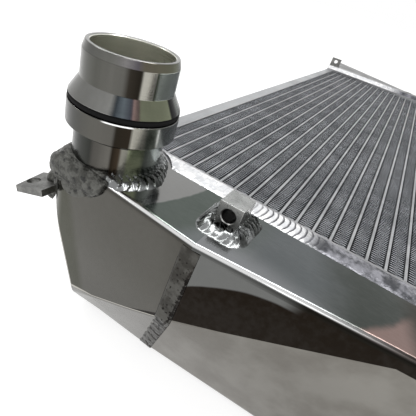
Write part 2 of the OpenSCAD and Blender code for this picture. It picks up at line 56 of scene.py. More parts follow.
Ring = list[Corner]
Faces = list[tuple[int, ...]]
Shape = tuple[list[Vector], Faces]


# Layout and mesh helpers


@dataclass(frozen=True)
class Layout:
    """The sizes that several sub-assemblies share."""

    shift: Corner = (-177.05447, -338.23504, 108.4)
    tube_count: int = 38
    tube_pitch: float = 10.0
    tube_thick: float = 2.0
    core_len: float = 594.0
    core_depth: float = 104.0
    header_depth: float = 10.5
    header_left: float = -21.0
    header_right: float = 391.0
    top_z: float = 3.0
    floor_z: float = -107.0
    sheet: float = 3.0
    neck_x: float = -1.0
    neck_reach: float = 32.0
    stem_r: float = 24.5

    def point(self, x: float, y: float, z: float) -> Vector:
        """Returns a point of the core's frame in metres of the part's frame."""
        return Vector((x + self.shift[0], y + self.shift[1], z + self.shift[2])) * MM


LAYOUT = Layout()


class Side(Enum):
    """The end of the core that a piece belongs to."""

    NEAR = "near"
    FAR = "far"


def side_point(side: Side, x: float, reach: float, z: float) -> Vector:
    """Places a point by its reach beyond the core.

    Args:
        side: End of the core.
        x: Place across the tubes.
        reach: Distance beyond the core's face, outwards.
        z: Height above the air face.

    Returns:
        The point in metres of the part's frame.
    """
    y = -reach if side is Side.NEAR else LAYOUT.core_len + reach
    return LAYOUT.point(x, y, z)


def raw_solid(name: str, points: Sequence[Vector], faces: Sequence[Sequence[int]]) -> Object:
    """Makes a bare mesh object that is cut further or used as a cutter.

    Args:
        name: Name of the object.
        points: Its points in metres of the part's frame.
        faces: Its faces as lists of point numbers.

    Returns:
        The object.
    """
    mesh = bpy.data.meshes.new(name)
    mesh.from_pydata([tuple(p) for p in points], [], [tuple(f) for f in faces])
    mesh.validate()
    solid = bpy.data.objects.new(name, mesh)
    bpy.context.scene.collection.objects.link(solid)
    return solid


def paint(piece: Object, *materials: Material) -> None:
    """Gives an object these finishes and no others.

    Args:
        piece: The object.
        materials: Its finishes, the main one first.
    """
    piece.data.materials.clear()
    for material in materials:
        piece.data.materials.append(material)


def new_piece(
    name: str, shape: Shape, material: Material, stands_for: str, crease_deg: float
) -> Object:
    """Makes a piece of the radiator from points and faces.

    Args:
        name: Name of the piece.
        shape: Points in metres of the part's frame, and faces seen anticlockwise.
        material: Finish of the piece.
        stands_for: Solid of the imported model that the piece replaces.
        crease_deg: Angle above which an edge stays sharp.

    Returns:
        The new object, riding on the radiator.
    """
    piece = raw_solid(name, *shape)
    paint(piece, material)
    finish_piece(piece, stands_for, crease_deg)
    return piece


def finish_piece(piece: Object, stands_for: str, crease_deg: float) -> None:
    """Shades a piece, ties it to the radiator and reports it.

    Args:
        piece: The object.
        stands_for: Solid that it replaces.
        crease_deg: Angle above which an edge stays sharp.
    """
    piece.data.shade_smooth()
    piece.data.set_sharp_from_angle(angle=math.radians(crease_deg))
    weighted = piece.modifiers.new("weighted_normals", "WEIGHTED_NORMAL")
    weighted.keep_sharp = True
    weighted.weight = 50
    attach(piece, "root")
    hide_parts(stands_for)
    LOG.info("%s: %d faces", piece.name, len(piece.data.polygons))


def dress_solid(name: str, material: Material) -> None:
    """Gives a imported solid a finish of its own."""
    paint(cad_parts[name], material)
    LOG.info("%s: dressed", name)


def carve(piece: Object, cutters: Sequence[Object]) -> None:
    """Cuts other solids out of a piece and removes them.

    Args:
        piece: The object to cut.
        cutters: Solids that are taken away from it.
    """
    for cutter in cutters:
        cut = piece.modifiers.new("cut", "BOOLEAN")
        cut.operation = "DIFFERENCE"
        cut.solver = "EXACT"
        cut.object = cutter
    graph = bpy.context.evaluated_depsgraph_get()
    graph.update()
    mesh = bpy.data.meshes.new_from_object(piece.evaluated_get(graph))
    piece.modifiers.clear()
    piece.data = mesh
    for cutter in cutters:
        bpy.data.objects.remove(cutter)


def box_solid(name: str, low: Vector, high: Vector) -> Object:
    """Makes a bare box.

    Args:
        name: Name of the object.
        low: The corner with the smallest coordinates.
        high: The corner with the largest coordinates.

    Returns:
        The object.
    """
    points = [
        Vector((x, y, z))
        for z in (low.z, high.z)
        for y in (low.y, high.y)
        for x in (low.x, high.x)
    ]
    faces = [
        (0, 2, 3, 1),
        (4, 5, 7, 6),
        (0, 1, 5, 4),
        (2, 6, 7, 3),
        (0, 4, 6, 2),
        (1, 3, 7, 5),
    ]
    return raw_solid(name, points, faces)


def turned(profile: Pairs, place: Matrix, steps: int) -> Shape:
    """Turns a closed profile round the local Z axis.

    Args:
        profile: Radius and height of each corner, in millimetres, anticlockwise.
        place: Turns local metres into the part's frame.
        steps: Number of steps round.

    Returns:
        Points and faces of the ring.
    """
    n = len(profile)
    points = [place @ (around(r, k / steps, z) * MM) for k in range(steps) for r, z in profile]
    faces: Faces = []
    for k in range(steps):
        a, b = k * n, ((k + 1) % steps) * n
        faces += [(a + i, b + i, b + (i + 1) % n, a + (i + 1) % n) for i in range(n)]
    return points, faces


def turned_plug(rings: Pairs, place: Matrix, steps: int) -> Shape:
    """Turns a plug that is used only to cut.

    Args:
        rings: Radius and height of each ring, from below, in millimetres.
        place: Turns local metres into the part's frame.
        steps: Number of steps round.

    Returns:
        Points and faces.
    """
    points = [place @ (around(r, k / steps, z) * MM) for r, z in rings for k in range(steps)]
    return points, tube_faces(len(rings), steps)


def around(r: float, share: float, z: float) -> Vector:
    """Returns the point at a radius, a share of the full turn and a height."""
    return Vector((r * math.cos(2 * math.pi * share), r * math.sin(2 * math.pi * share), z))


def tube_faces(rings: int, count: int, base: int = 0) -> Faces:
    """Returns the faces of a closed tube with both ends capped.

    Args:
        rings: Number of rings of points, one after the other.
        count: Points in a ring.
        base: Number of the first point.

    Returns:
        The faces, seen anticlockwise from outside.
    """
    last = base + (rings - 1) * count
    faces: Faces = [
        (a + i, a + (i + 1) % count, a + (i + 1) % count + count, a + i + count)
        for a in range(base, last, count)
        for i in range(count)
    ]
    faces.append(tuple(reversed(range(base, base + count))))
    faces.append(tuple(range(last, last + count)))
    return faces


def wall_faces(columns: Iterable[int], total: int, count: int) -> Faces:
    """Returns the quads between columns of points and the columns after them.

    Args:
        columns: Numbers of the columns on the first side of the quads.
        total: Number of columns, after which the first one follows.
        count: Points in a column.

    Returns:
        The quads, column by column.
    """
    faces: Faces = []
    for k in columns:
        a, b = k * count, (k + 1) % total * count
        faces += [(a + i, a + i + 1, b + i + 1, b + i) for i in range(count - 1)]
    return faces


def rounded_profile(
    corners: Sequence[tuple[float, float, float]], steps: int = 4
) -> list[tuple[float, float]]:
    """Rounds the corners of a closed profile.

    Args:
        corners: Each corner's x, y and radius.
        steps: Number of steps on a rounded corner.

    Returns:
        The rounded profile.
    """
    out: list[tuple[float, float]] = []
    n = len(corners)
    for i, (x, y, r) in enumerate(corners):
        p = Vector((x, y))
        a = Vector(corners[i - 1][:2]) - p
        b = Vector(corners[(i + 1) % n][:2]) - p
        if r <= 0:
            out.append((x, y))
            continue
        half = a.angle(b) / 2
        d = min(r / math.tan(half), 0.45 * a.length, 0.45 * b.length)
        for k in range(steps + 1):
            t = k / steps
            q = (p + a.normalized() * d * (1 - t) ** 2 + b.normalized() * d * t**2)
            out.append((q.x, q.y))
    return out


# Sections of the folded tanks


def unit(value: float) -> float:
    """Returns a value held between 0 and 1."""
    return max(0.0, min(1.0, value))


def line(x: float, x0: float, y0: float, x1: float, y1: float) -> float:
    """Returns the value at x of the straight line through two points."""
    return y0 + (y1 - y0) * (x - x0) / (x1 - x0)


def corner_loss(x: float, end: float, r: float) -> float:
    """Returns the reach lost at x to a corner of radius r that starts at end."""
    return 0.0 if x >= end else r - math.sqrt(max(0.0, r * r - (end - x) ** 2))


def side_dir(a: Corner, b: Corner) -> Vector:
    """Returns the unit vector from a to b in the plane of a section."""
    return Vector((b[1] - a[1], b[2] - a[2])).normalized()


def inset(ring: Ring, wall: float) -> Ring:
    """Moves every side of a section inwards.

    Args:
        ring: Corners of the section, each x, reach and height.
        wall: Distance to move; a negative one grows the section.

    Returns:
        The moved corners.
    """
    out: Ring = []
    n = len(ring)
    for i, p in enumerate(ring):
        d0, d1 = side_dir(ring[i - 1], p), side_dir(p, ring[(i + 1) % n])
        n0, n1 = (d0[1], -d0[0]), (d1[1], -d1[0])
        det = n0[0] * n1[1] - n0[1] * n1[0]
        out.append(
            (p[0], p[1] + wall * (n1[1] - n0[1]) / det, p[2] + wall * (n0[0] - n1[0]) / det)
        )
    return out


def fold(p: Corner, a: Corner, b: Corner, r: float, steps: int) -> Ring:
    """Rounds one corner of a section.

    Args:
        p: The corner.
        a: The corner before it.
        b: The corner after it.
        r: Radius of the fold.
        steps: Number of steps on the fold.

    Returns:
        Points from one tangent to the other.
    """
    u, v = side_dir(p, a), side_dir(p, b)
    half = math.acos(max(-1.0, min(1.0, u.dot(v)))) / 2
    la = math.hypot(a[1] - p[1], a[2] - p[2])
    lb = math.hypot(b[1] - p[1], b[2] - p[2])
    d = min(r / math.tan(half), 0.45 * min(la, lb))
    c = Vector((p[1], p[2])) + (u + v).normalized() * d / math.cos(half)
    s = Vector((p[1], p[2])) + u * d - c
    e = Vector((p[1], p[2])) + v * d - c
    start = math.atan2(s.y, s.x)
    turn = (math.atan2(e.y, e.x) - start + math.pi) % (2 * math.pi) - math.pi
    xa = p[0] + (a[0] - p[0]) * d / la
    xb = p[0] + (b[0] - p[0]) * d / lb
    out: Ring = []
    for i in range(steps + 1):
        w = start + turn * i / steps
        out.append(
            (
                xa + (xb - xa) * i / steps,
                c.x + s.length * math.cos(w),
                c.y + s.length * math.sin(w),
            )
        )
    return out


def folded(ring: Ring, r: float, steps: int, crease_r: float | None = None) -> Ring:
    """Rounds the three outer corners of a five-cornered section.

    Args:
        ring: The corners.
        r: Radius of the upper fold. The lower corner has twice that.
        steps: Number of steps on each fold.
        crease_r: Radius of the crease in the middle, twice r if it isn't given.

    Returns:
        The rounded section.
    """
    c = ring
    return (
        [c[0]]
        + fold(c[1], c[0], c[2], r, steps)
        + fold(c[2], c[1], c[3], crease_r or 2 * r, steps)
        + fold(c[3], c[2], c[4], 2 * r, steps)
        + [c[4]]
    )


def loft(rings: Sequence[Ring]) -> Shape:
    """Joins sections of the near tank, from left to right, into a closed solid."""
    points = [side_point(Side.NEAR, *q) for ring in rings for q in ring]
    return points, tube_faces(len(rings), len(rings[0]))


@dataclass(frozen=True)
class TankShape:
    """Sizes of the two tanks and the sections that follow from them."""

    fold_r: float = 4.0
    near_left: float = -29.0
    end_corner: float = 15.0
    end_round: float = 8.0
    foot_round: float = 7.0
    foot_lift: float = 1.6
    reach_end: float = 56.0
    reach_seam: float = 63.0
    reach_tip: float = 20.0
    seam_x: float = 71.0
    seam_lean: float = 15.0
    front_seam: float = 53.0
    foot_seam: float = 45.0
    foot_tip: float = 17.0
    runout_x: float = 162.0
    foot_runout: float = 37.0
    fold_slope: float = 0.55
    facet_w: float = 29.5
    facet_h: float = 68.0
    crease_gap: float = 17.0
    crease_kink: float = 2.0
    return_r: float = 8.0
    face_min: float = 8.0
    far_reach_end: float = 120.0
    far_reach_seam: float = 42.0
    far_reach_tip: float = 26.0
    far_seam_x: float = 130.0

    def inlet_reach(self, x: float) -> float:
        """Returns the reach of the inlet end at x."""
        flat = line(x, self.near_left, self.reach_end, self.seam_x, self.reach_seam)
        return flat - corner_loss(x, self.near_left + self.end_corner, self.end_corner)

    def inlet_top(self, x: float) -> float:
        """Returns the height of the inlet end's top at x, rounded at the end."""
        return LAYOUT.top_z - corner_loss(x, self.near_left + self.end_round, self.end_round)

    def inlet_corners(self, p: float, x: float) -> Ring:
        """Works out a section of the inlet end.

        Args:
            p: Place across the tubes whose section it is.
            x: Place that it is moved to.

        Returns:
            Its five corners, each x, reach and height.
        """
        lay = LAYOUT
        reach, top = self.inlet_reach(p), self.inlet_top(p)
        rise = max(0.0, self.near_left + self.facet_w - p) * self.facet_h / self.facet_w
        lost = corner_loss(p, self.near_left + self.foot_round, self.foot_round)
        foot = lay.floor_z + rise + self.foot_lift * lost
        crease = lay.top_z - self.front_seam - self.fold_slope * (self.seam_x - p)
        crease = max(crease, foot + self.crease_gap)
        back = lay.header_depth + corner_loss(p, self.near_left + self.return_r, self.return_r)
        return [
            (x, back, top),
            (x, reach, top),
            (x, reach, crease),
            (x, min(self.foot_seam, reach - 1), foot),
            (x, back, lay.floor_z),
        ]

    def seam_corners(self, move: float) -> Ring:
        """Works out the leaning section at the near seam.

        Args:
            move: Distance that it is moved along the tank.

        Returns:
            Its five corners, each x, reach and height.
        """
        lay = LAYOUT
        x = self.seam_x + move
        return [
            (x, lay.header_depth, lay.top_z),
            (x, self.reach_seam, lay.top_z),
            (x - self.crease_kink, self.reach_seam, lay.top_z - self.front_seam),
            (x - self.seam_lean, self.foot_seam, lay.floor_z),
            (x - self.seam_lean, lay.header_depth, lay.floor_z),
        ]

    def taper_corners(self, x: float) -> Ring:
        """Works out a section of the tapered part.

        Args:
            x: Place across the tubes.

        Returns:
            Its five corners, each x, reach and height.
        """
        lay = LAYOUT
        low_face = lay.top_z - self.face_min
        reach = line(x, self.seam_x, self.reach_seam, lay.header_right, self.reach_tip)
        if x < self.runout_x:
            seam_foot = self.seam_x - self.seam_lean
            foot = line(x, seam_foot, self.foot_seam, self.runout_x, self.foot_runout)
            seam_crease = lay.top_z - self.front_seam
            crease = line(x, self.seam_x, seam_crease, self.runout_x, low_face)
        else:
            foot = line(x, self.runout_x, self.foot_runout, lay.header_right, self.foot_tip)
            crease = low_face
        return [
            (x, lay.header_depth, lay.top_z),
            (x, reach, lay.top_z),
            (x, reach, crease),
            (x, foot, lay.floor_z),
            (x, lay.header_depth, lay.floor_z),
        ]

    def far_reach(self, x: float) -> float:
        """Works out how far the far tank reaches.

        Args:
            x: Place across the tubes.

        Returns:
            The reach beyond the core.
        """
        seam = (self.far_seam_x, self.far_reach_seam)
        if x < self.far_seam_x:
            return line(x, LAYOUT.header_left, self.far_reach_end, *seam)
        return line(x, *seam, LAYOUT.header_right, self.far_reach_tip)


SHAPE = TankShape()


# Finishes


class Nodes:
    """Small builder for the nodes of one finish."""

    def __init__(self, name: str) -> None:
        """Starts a material with one principled shader.

        Args:
            name: Name of the material.
        """
        self.material = bpy.data.materials.new(name)
        self.material.use_nodes = True
        self.tree = self.material.node_tree
        self.tree.nodes.clear()
        self.shader = self.tree.nodes.new("ShaderNodeBsdfPrincipled")
        output = self.tree.nodes.new("ShaderNodeOutputMaterial")
        self.tree.links.new(self.shader.outputs[0], output.inputs["Surface"])
        self.coord = self.tree.nodes.new("ShaderNodeTexCoord").outputs["Object"]

    def link(self, source: NodeSocket, node: bpy.types.Node, key: str | int) -> None:
        """Joins an output to an input."""
        self.tree.links.new(source, node.inputs[key])

    def stretched(self, stretch: Corner, turn_z: float = 0.0) -> NodeSocket:
        """Returns the place on the part, stretched along each axis.

        Args:
            stretch: Scale along each axis.
            turn_z: Turn about the vertical axis before the scale, in radians.

        Returns:
            The vector output.
        """
        node = self.tree.nodes.new("ShaderNodeMapping")
        node.inputs["Scale"].default_value = stretch
        node.inputs["Rotation"].default_value = (0.0, 0.0, turn_z)
        self.link(self.coord, node, "Vector")
        return node.outputs[0]

    def noise(
        self, scale: float, detail: float = 4.0, vector: NodeSocket | None = None
    ) -> NodeSocket:
        """Adds a noise around 0.5.

        Args:
            scale: Number of lumps in a metre.
            detail: Number of finer layers.
            vector: Place that it is taken at, the place on the part if it isn't given.

        Returns:
            The value.
        """
        node = self.tree.nodes.new("ShaderNodeTexNoise")
        node.inputs["Scale"].default_value = scale
        node.inputs["Detail"].default_value = detail
        node.inputs["Roughness"].default_value = 0.55
        self.link(vector or self.coord, node, "Vector")
        return node.outputs[0]

    def part(self, vector: NodeSocket, name: str) -> NodeSocket:
        """Takes one coordinate out of a vector.

        Args:
            vector: The vector.
            name: X, Y or Z.

        Returns:
            The value.
        """
        node = self.tree.nodes.new("ShaderNodeSeparateXYZ")
        self.link(vector, node, "Vector")
        return node.outputs[name]

    def axis(self, name: str) -> NodeSocket:
        """Returns one coordinate of the place on the part."""
        return self.part(self.coord, name)

    def core(self, name: str) -> NodeSocket:
        """Returns one coordinate of the place in millimetres of the core's frame."""
        shift = LAYOUT.shift["XYZ".index(name)]
        return self.minus(self.times(self.axis(name), 1000.0), shift)

    def normal(self, name: str) -> NodeSocket:
        """Returns one coordinate of the surface's own normal."""
        geometry = self.tree.nodes.new("ShaderNodeNewGeometry")
        return self.part(geometry.outputs["Normal"], name)

    def math(self, kind: str, a: NodeSocket | float, b: NodeSocket | float = 0.0) -> NodeSocket:
        """Adds a sum, product or other simple result of two values.

        Args:
            kind: The operation by Blender's name.
            a: First value.
            b: Second value.

        Returns:
            The result.
        """
        node = self.tree.nodes.new("ShaderNodeMath")
        node.operation = kind
        for i, value in enumerate((a, b)):
            if isinstance(value, (int, float)):
                node.inputs[i].default_value = value
            else:
                self.link(value, node, i)
        return node.outputs[0]

    def times(self, a: NodeSocket, b: NodeSocket | float) -> NodeSocket:
        """Returns the product of two values."""
        return self.math("MULTIPLY", a, b)

    def plus(self, a: NodeSocket, b: NodeSocket | float) -> NodeSocket:
        """Returns the sum of two values."""
        return self.math("ADD", a, b)

    def minus(self, a: NodeSocket, b: NodeSocket | float) -> NodeSocket:
        """Returns a value less another."""
        return self.math("SUBTRACT", a, b)

    def spread(
        self,
        value: NodeSocket,
        low: float,
        high: float,
        out_low: float = 0.0,
        out_high: float = 1.0,
    ) -> NodeSocket:
        """Maps a range of a value to another range, clamped and eased at its ends.

        Args:
            value: The value.
            low: Value that gives out_low.
            high: Value that gives out_high.
            out_low: First result.
            out_high: Last result.

        Returns:
            The mapped value.
        """
        node = self.tree.nodes.new("ShaderNodeMapRange")
        node.interpolation_type = "SMOOTHSTEP"
        for key, number in (
            ("From Min", low),
            ("From Max", high),
            ("To Min", out_low),
            ("To Max", out_high),
        ):
            node.inputs[key].default_value = number
        self.link(value, node, "Value")
        return node.outputs[0]

    def between(
        self, value: NodeSocket, rise: tuple[float, float], fall: tuple[float, float]
    ) -> NodeSocket:
        """Returns 1 between two places of a value and 0 outside them.

        Args:
            value: The value.
            rise: Where the result leaves 0 and reaches 1.
            fall: Where it leaves 1 and reaches 0.

        Returns:
            The share, from 0 to 1.
        """
        return self.times(self.spread(value, *rise), self.spread(value, *fall, 1.0, 0.0))

    def mix(
        self, factor: NodeSocket, a: NodeSocket | Corner, b: NodeSocket | Corner
    ) -> NodeSocket:
        """Mixes two colours.

        Args:
            factor: The share of the second colour.
            a: Colour where the factor is 0.
            b: Colour where the factor is 1.

        Returns:
            The colour.
        """
        node = self.tree.nodes.new("ShaderNodeMix")
        node.data_type = "RGBA"
        self.link(factor, node, 0)
        for i, value in ((6, a), (7, b)):
            if isinstance(value, tuple):
                node.inputs[i].default_value = (*value, 1.0)
            else:
                self.link(value, node, i)
        return node.outputs[2]

    def ramp(self, value: NodeSocket, stops: Sequence[tuple[float, Corner]]) -> NodeSocket:
        """Turns a value into a colour.

        Args:
            value: The value, from 0 to 1.
            stops: Places and colours of the stops.

        Returns:
            The colour.
        """
        node = self.tree.nodes.new("ShaderNodeValToRGB")
        set_stops(node.color_ramp, stops)
        self.link(value, node, "Fac")
        return node.outputs[0]

    def bump(
        self, height: NodeSocket, distance: float, below: NodeSocket | None = None
    ) -> NodeSocket:
        """Returns a normal that follows a height.

        Args:
            height: The height, from 0 to 1.
            distance: Height of 1 in metres.
            below: A normal that the bump lies on.

        Returns:
            The new normal.
        """
        node = self.tree.nodes.new("ShaderNodeBump")
        node.inputs["Distance"].default_value = distance
        node.inputs["Strength"].default_value = 1.0
        self.link(height, node, "Height")
        if below is not None:
            self.link(below, node, "Normal")
        return node.outputs[0]

    def metal(self, color: NodeSocket, roughness: NodeSocket, normal: NodeSocket) -> Material:
        """Feeds the shader as bare metal.

        Args:
            color: The metal's colour.
            roughness: Its roughness.
            normal: Its normal, with the bumps.

        Returns:
            The material.
        """
        self.shader.inputs["Metallic"].default_value = 1.0
        self.link(color, self.shader, "Base Color")
        self.link(roughness, self.shader, "Roughness")
        self.link(normal, self.shader, "Normal")
        return self.material


def set_stops(ramp: bpy.types.ColorRamp, stops: Sequence[tuple[float, Corner]]) -> None:
    """Fills a colour ramp.

    Args:
        ramp: The ramp.
        stops: Places and colours of its stops.
    """
    while len(ramp.elements) < len(stops):
        ramp.elements.new(0.5)
    for item, (place, color) in zip(ramp.elements, stops):
        item.position = place
        item.color = (*color, 1.0)


@dataclass(frozen=True)
class BareMetal:
    """Satin aluminium: soft cloudy tone, fine grain, scuffs, and painted shade on its sides."""

    name: str
    light: Corner = (0.60, 0.60, 0.61)
    dark: Corner = (0.44, 0.44, 0.45)
    cloud: float = 14.0
    rough_low: float = 0.28
    rough_high: float = 0.42
    grain: float = 900.0
    grain_height: float = 0.00004
    stretch: Corner = (1.0, 1.0, 1.0)
    # Painted shade for faces that don't face up; upward faces keep the lit tone.
    side: Corner | None = None
    shade_slope: tuple[float, float] = (0.6, 0.9)

    def build(self) -> Material:
        """Builds the finish.

        Returns:
            The material.
        """
        n = Nodes(self.name)
        vector = n.stretched(self.stretch)
        cloud = n.noise(self.cloud, 5.0)
        fine = n.noise(self.grain, 3.0, vector)
        tone = n.plus(n.times(cloud, 0.75), n.times(fine, 0.25))
        color = n.mix(n.spread(tone, 0.35, 0.65), self.dark, self.light)
        # Painted shade: faces tilted away from up take the side colour.
        if self.side is not None:
            up = n.math("ABSOLUTE", n.normal("Z"))
            color = n.mix(n.spread(up, *self.shade_slope), self.side, color)
        rough = n.spread(n.noise(self.cloud * 3, 4.0), 0.35, 0.65, self.rough_low, self.rough_high)
        return n.metal(color, rough, n.bump(fine, self.grain_height))


@dataclass(frozen=True)
class PaintedReflection:
    """A field of painted reflection and shade on polished sheet, with one soft and wavy edge line.
    """

    color: Corner
    at: tuple[float, float]
    toward: tuple[float, float]
    soft: float = 1.0
    wave: float = 0.0
    bend: float = 0.0

    def mask(self, n: Nodes, across: NodeSocket, along: NodeSocket) -> NodeSocket:
        """Returns how far a place lies inside the field, from 0 to 1.

        Args:
            n: Nodes of the finish.
            across: First coordinate of the place, in millimetres.
            along: Second coordinate of the place, in millimetres.

        Returns:
            The mask.
        """
        ux, uy = Vector(self.toward).normalized()
        a = n.minus(across, self.at[0])
        b = n.minus(along, self.at[1])
        depth = n.plus(n.times(a, ux), n.times(b, uy))
        if self.bend:
            side = n.minus(n.times(b, ux), n.times(a, uy))
            bow = n.times(n.times(side, side), self.bend)
            depth = n.plus(depth, bow)
        if self.wave:
            wave = n.minus(n.noise(60.0, 3.0), 0.5)
            depth = n.plus(depth, n.times(wave, self.wave))
        return n.spread(depth, -self.soft, self.soft)


@dataclass(frozen=True)
class PaintedFoldLight:
    """Painted shade or a painted highlight on a fold of polished sheet, where its slope lies in a
    band.

    A slope is the Z of the surface's normal. The tone shows by the two shares at the
    two places along x.
    """

    rise: tuple[float, float]
    fall: tuple[float, float]
    along: tuple[float, float]
    shares: tuple[float, float]
    color: Corner

    def mask(self, n: Nodes, slope: NodeSocket, x: NodeSocket) -> NodeSocket:
        """Returns how much of the tone shows, by the slope and the place along x."""
        band = n.between(slope, self.rise, self.fall)
        return n.times(band, n.spread(x, *self.along, *self.shares))


# Painted shade on the lower side of the fold, and further along on its upper side.
FOLD_SHADE = PaintedFoldLight(
    rise=(0.02, 0.18), fall=(0.5, 0.7), along=(76.0, 150.0), shares=(0.0, 0.95),
    color=(0.012, 0.011, 0.009),
)
LATE_SHADE = PaintedFoldLight(
    rise=(0.45, 0.6), fall=(0.93, 0.985), along=(112.0, 158.0), shares=(0.0, 0.9),
    color=(0.035, 0.032, 0.030),
)
# A painted white highlight on the fold's crest, fading out along x.
FOLD_HIGHLIGHT = PaintedFoldLight(
    rise=(0.62, 0.76), fall=(0.86, 0.96), along=(104.0, 166.0), shares=(1.0, 0.0),
    color=(1.0, 1.0, 1.0),
)


@dataclass(frozen=True)
class PolishedTank:
    """Polished sheet: painted reflections as tones and fields on its top, face and lower facet."""

    name: str
    # Painted reflections, a tone for each way the sheet faces; the facet's tone clouds to under.
    top: Corner
    face: Corner
    facet: Corner
    under: Corner
    # Fields of painted reflection and shade on the top and on the upper face.
    top_reflections: Sequence[PaintedReflection]
    face_reflections: Sequence[PaintedReflection]
    rough_top: float = 0.08
    rough_face: float = 0.22
    # A painted highlight along the lower crease: its share, then its colour.
    crease_highlight_share: float = 0.0
    crease_highlight: Corner = (0.55, 0.53, 0.48)
    worn_tone: Corner = (0.7, 0.7, 0.7)
    top_slope: tuple[float, float] = (0.55, 0.92)
    facet_slope: tuple[float, float] = (-0.07, -0.04)
    cloud: float = 34.0
    scuff: float = 300.0
    wave: float = 16.0
    wave_height: float = 0.0005
    scuff_height: float = 0.00002

    def build(self) -> Material:
        """Builds the finish.

        Returns:
            The material.
        """
        n = Nodes(self.name)
        x, y, z = (n.core(k) for k in "XYZ")
        slope = n.normal("Z")
        up = n.spread(slope, *self.top_slope)
        down = n.spread(slope, *self.facet_slope)
        # Painted reflections: a tone for each way the sheet faces, and fields on top and face.
        top, face = self.top, self.face
        for reflection in self.top_reflections:
            top = n.mix(reflection.mask(n, x, y), top, reflection.color)
        for reflection in self.face_reflections:
            face = n.mix(reflection.mask(n, x, z), face, reflection.color)
        cloud = n.noise(self.cloud, 4.0)
        facet = n.mix(n.spread(cloud, 0.35, 0.65), self.under, self.facet)
        color = n.mix(up, n.mix(down, facet, face), top)
        scuff = n.noise(self.scuff, 5.0, n.stretched((1.0, 4.0, 1.0), 0.5))
        worn = n.spread(n.plus(n.times(scuff, 0.5), n.times(cloud, 0.5)), 0.40, 0.62)
        worn = n.times(worn, n.spread(up, 0.0, 1.0, 0.008, 0.04))
        color = n.mix(worn, color, self.worn_tone)
        # Painted shade along the fold.
        for tone in (FOLD_SHADE, LATE_SHADE):
            color = n.mix(tone.mask(n, slope, x), color, tone.color)
        # Painted highlight along the lower crease.
        crease = n.between(slope, (-0.14, -0.10), (-0.06, -0.02))
        color = n.mix(n.times(crease, self.crease_highlight_share), color, self.crease_highlight)
        # Painted white highlight on the crest of the upper fold.
        color = n.mix(FOLD_HIGHLIGHT.mask(n, slope, x), color, FOLD_HIGHLIGHT.color)
        rough = n.spread(up, 0.0, 1.0, self.rough_face, self.rough_top)
        rough = n.plus(rough, n.times(scuff, 0.06))
        waves = n.bump(n.noise(self.wave, 1.0), self.wave_height)
        return n.metal(color, rough, n.bump(scuff, self.scuff_height, waves))


@dataclass(frozen=True)
class TurnedMetal:
    """Turned aluminium: fine rings, and painted reflections as dark and pale bands up the neck."""

    name: str
    center: tuple[float, float]
    foot_z: float
    # Painted reflections: for each height up the neck, colours round it by share of the turn.
    reflection_zones: Sequence[tuple[float, Sequence[tuple[float, Corner]]]]
    # Painted reflection in the bore: it is painted bright, mottled between two tones.
    inside: Corner = (1.0, 1.0, 0.92)
    inside_dark: Corner = (0.64, 0.64, 0.58)
    # Painted reflection on faces that face up.
    upward_reflection: Corner = (0.33, 0.33, 0.32)
    streak: Corner = (0.02, 0.02, 0.018)
    streak_share: float = 0.10
    sway: float = 0.006
    blend: float = 0.15
    bore_r: float = 21.2
    bore_blend: float = 0.2
    ring_height: float = 0.00003
    rough_low: float = 0.16
    rough_high: float = 0.26

    def build(self) -> Material:
        """Builds the finish.

        Returns:
            The material.
        """
        n = Nodes(self.name)
        dx = n.minus(n.axis("X"), self.center[0])
        dy = n.minus(n.axis("Y"), self.center[1])
        share = n.plus(n.math("DIVIDE", n.math("ARCTAN2", dy, dx), 2 * math.pi), 0.5)
        share = n.plus(share, n.times(n.minus(n.noise(30.0, 2.0), 0.5), self.sway))
        height = n.times(n.minus(n.axis("Z"), self.foot_z), 1000.0)
        # Painted reflections: bands round the neck for each height.
        color = n.ramp(share, self.reflection_zones[0][1])
        for z, stops in self.reflection_zones[1:]:
            above = n.spread(height, z - self.blend, z + self.blend)
            color = n.mix(above, color, n.ramp(share, stops))
        streaks = n.noise(30.0, 5.0, n.stretched((6.0, 6.0, 0.5)))
        streaks = n.times(n.spread(streaks, 0.35, 0.65), self.streak_share)
        color = n.mix(streaks, color, self.streak)
        radius = n.math("SQRT", n.plus(n.times(dx, dx), n.times(dy, dy)))
        radius = n.times(radius, 1000.0)
        # Painted bright reflection in the bore.
        inner = n.spread(radius, self.bore_r - self.bore_blend, self.bore_r, 1.0, 0.0)
        shade = n.spread(n.noise(25.0, 2.0), 0.3, 0.7, 0.75, 1.25)
        color = n.mix(inner, color, n.mix(shade, self.inside_dark, self.inside))
        # Painted reflection on faces that face up.
        color = n.mix(n.spread(n.normal("Z"), 0.62, 0.85), color, self.upward_reflection)
        rings = n.noise(40.0, 6.0, n.stretched((0.6, 0.6, 60.0)))
        rough = n.spread(rings, 0.3, 0.7, self.rough_low, self.rough_high)
        return n.metal(color, rough, n.bump(rings, self.ring_height))


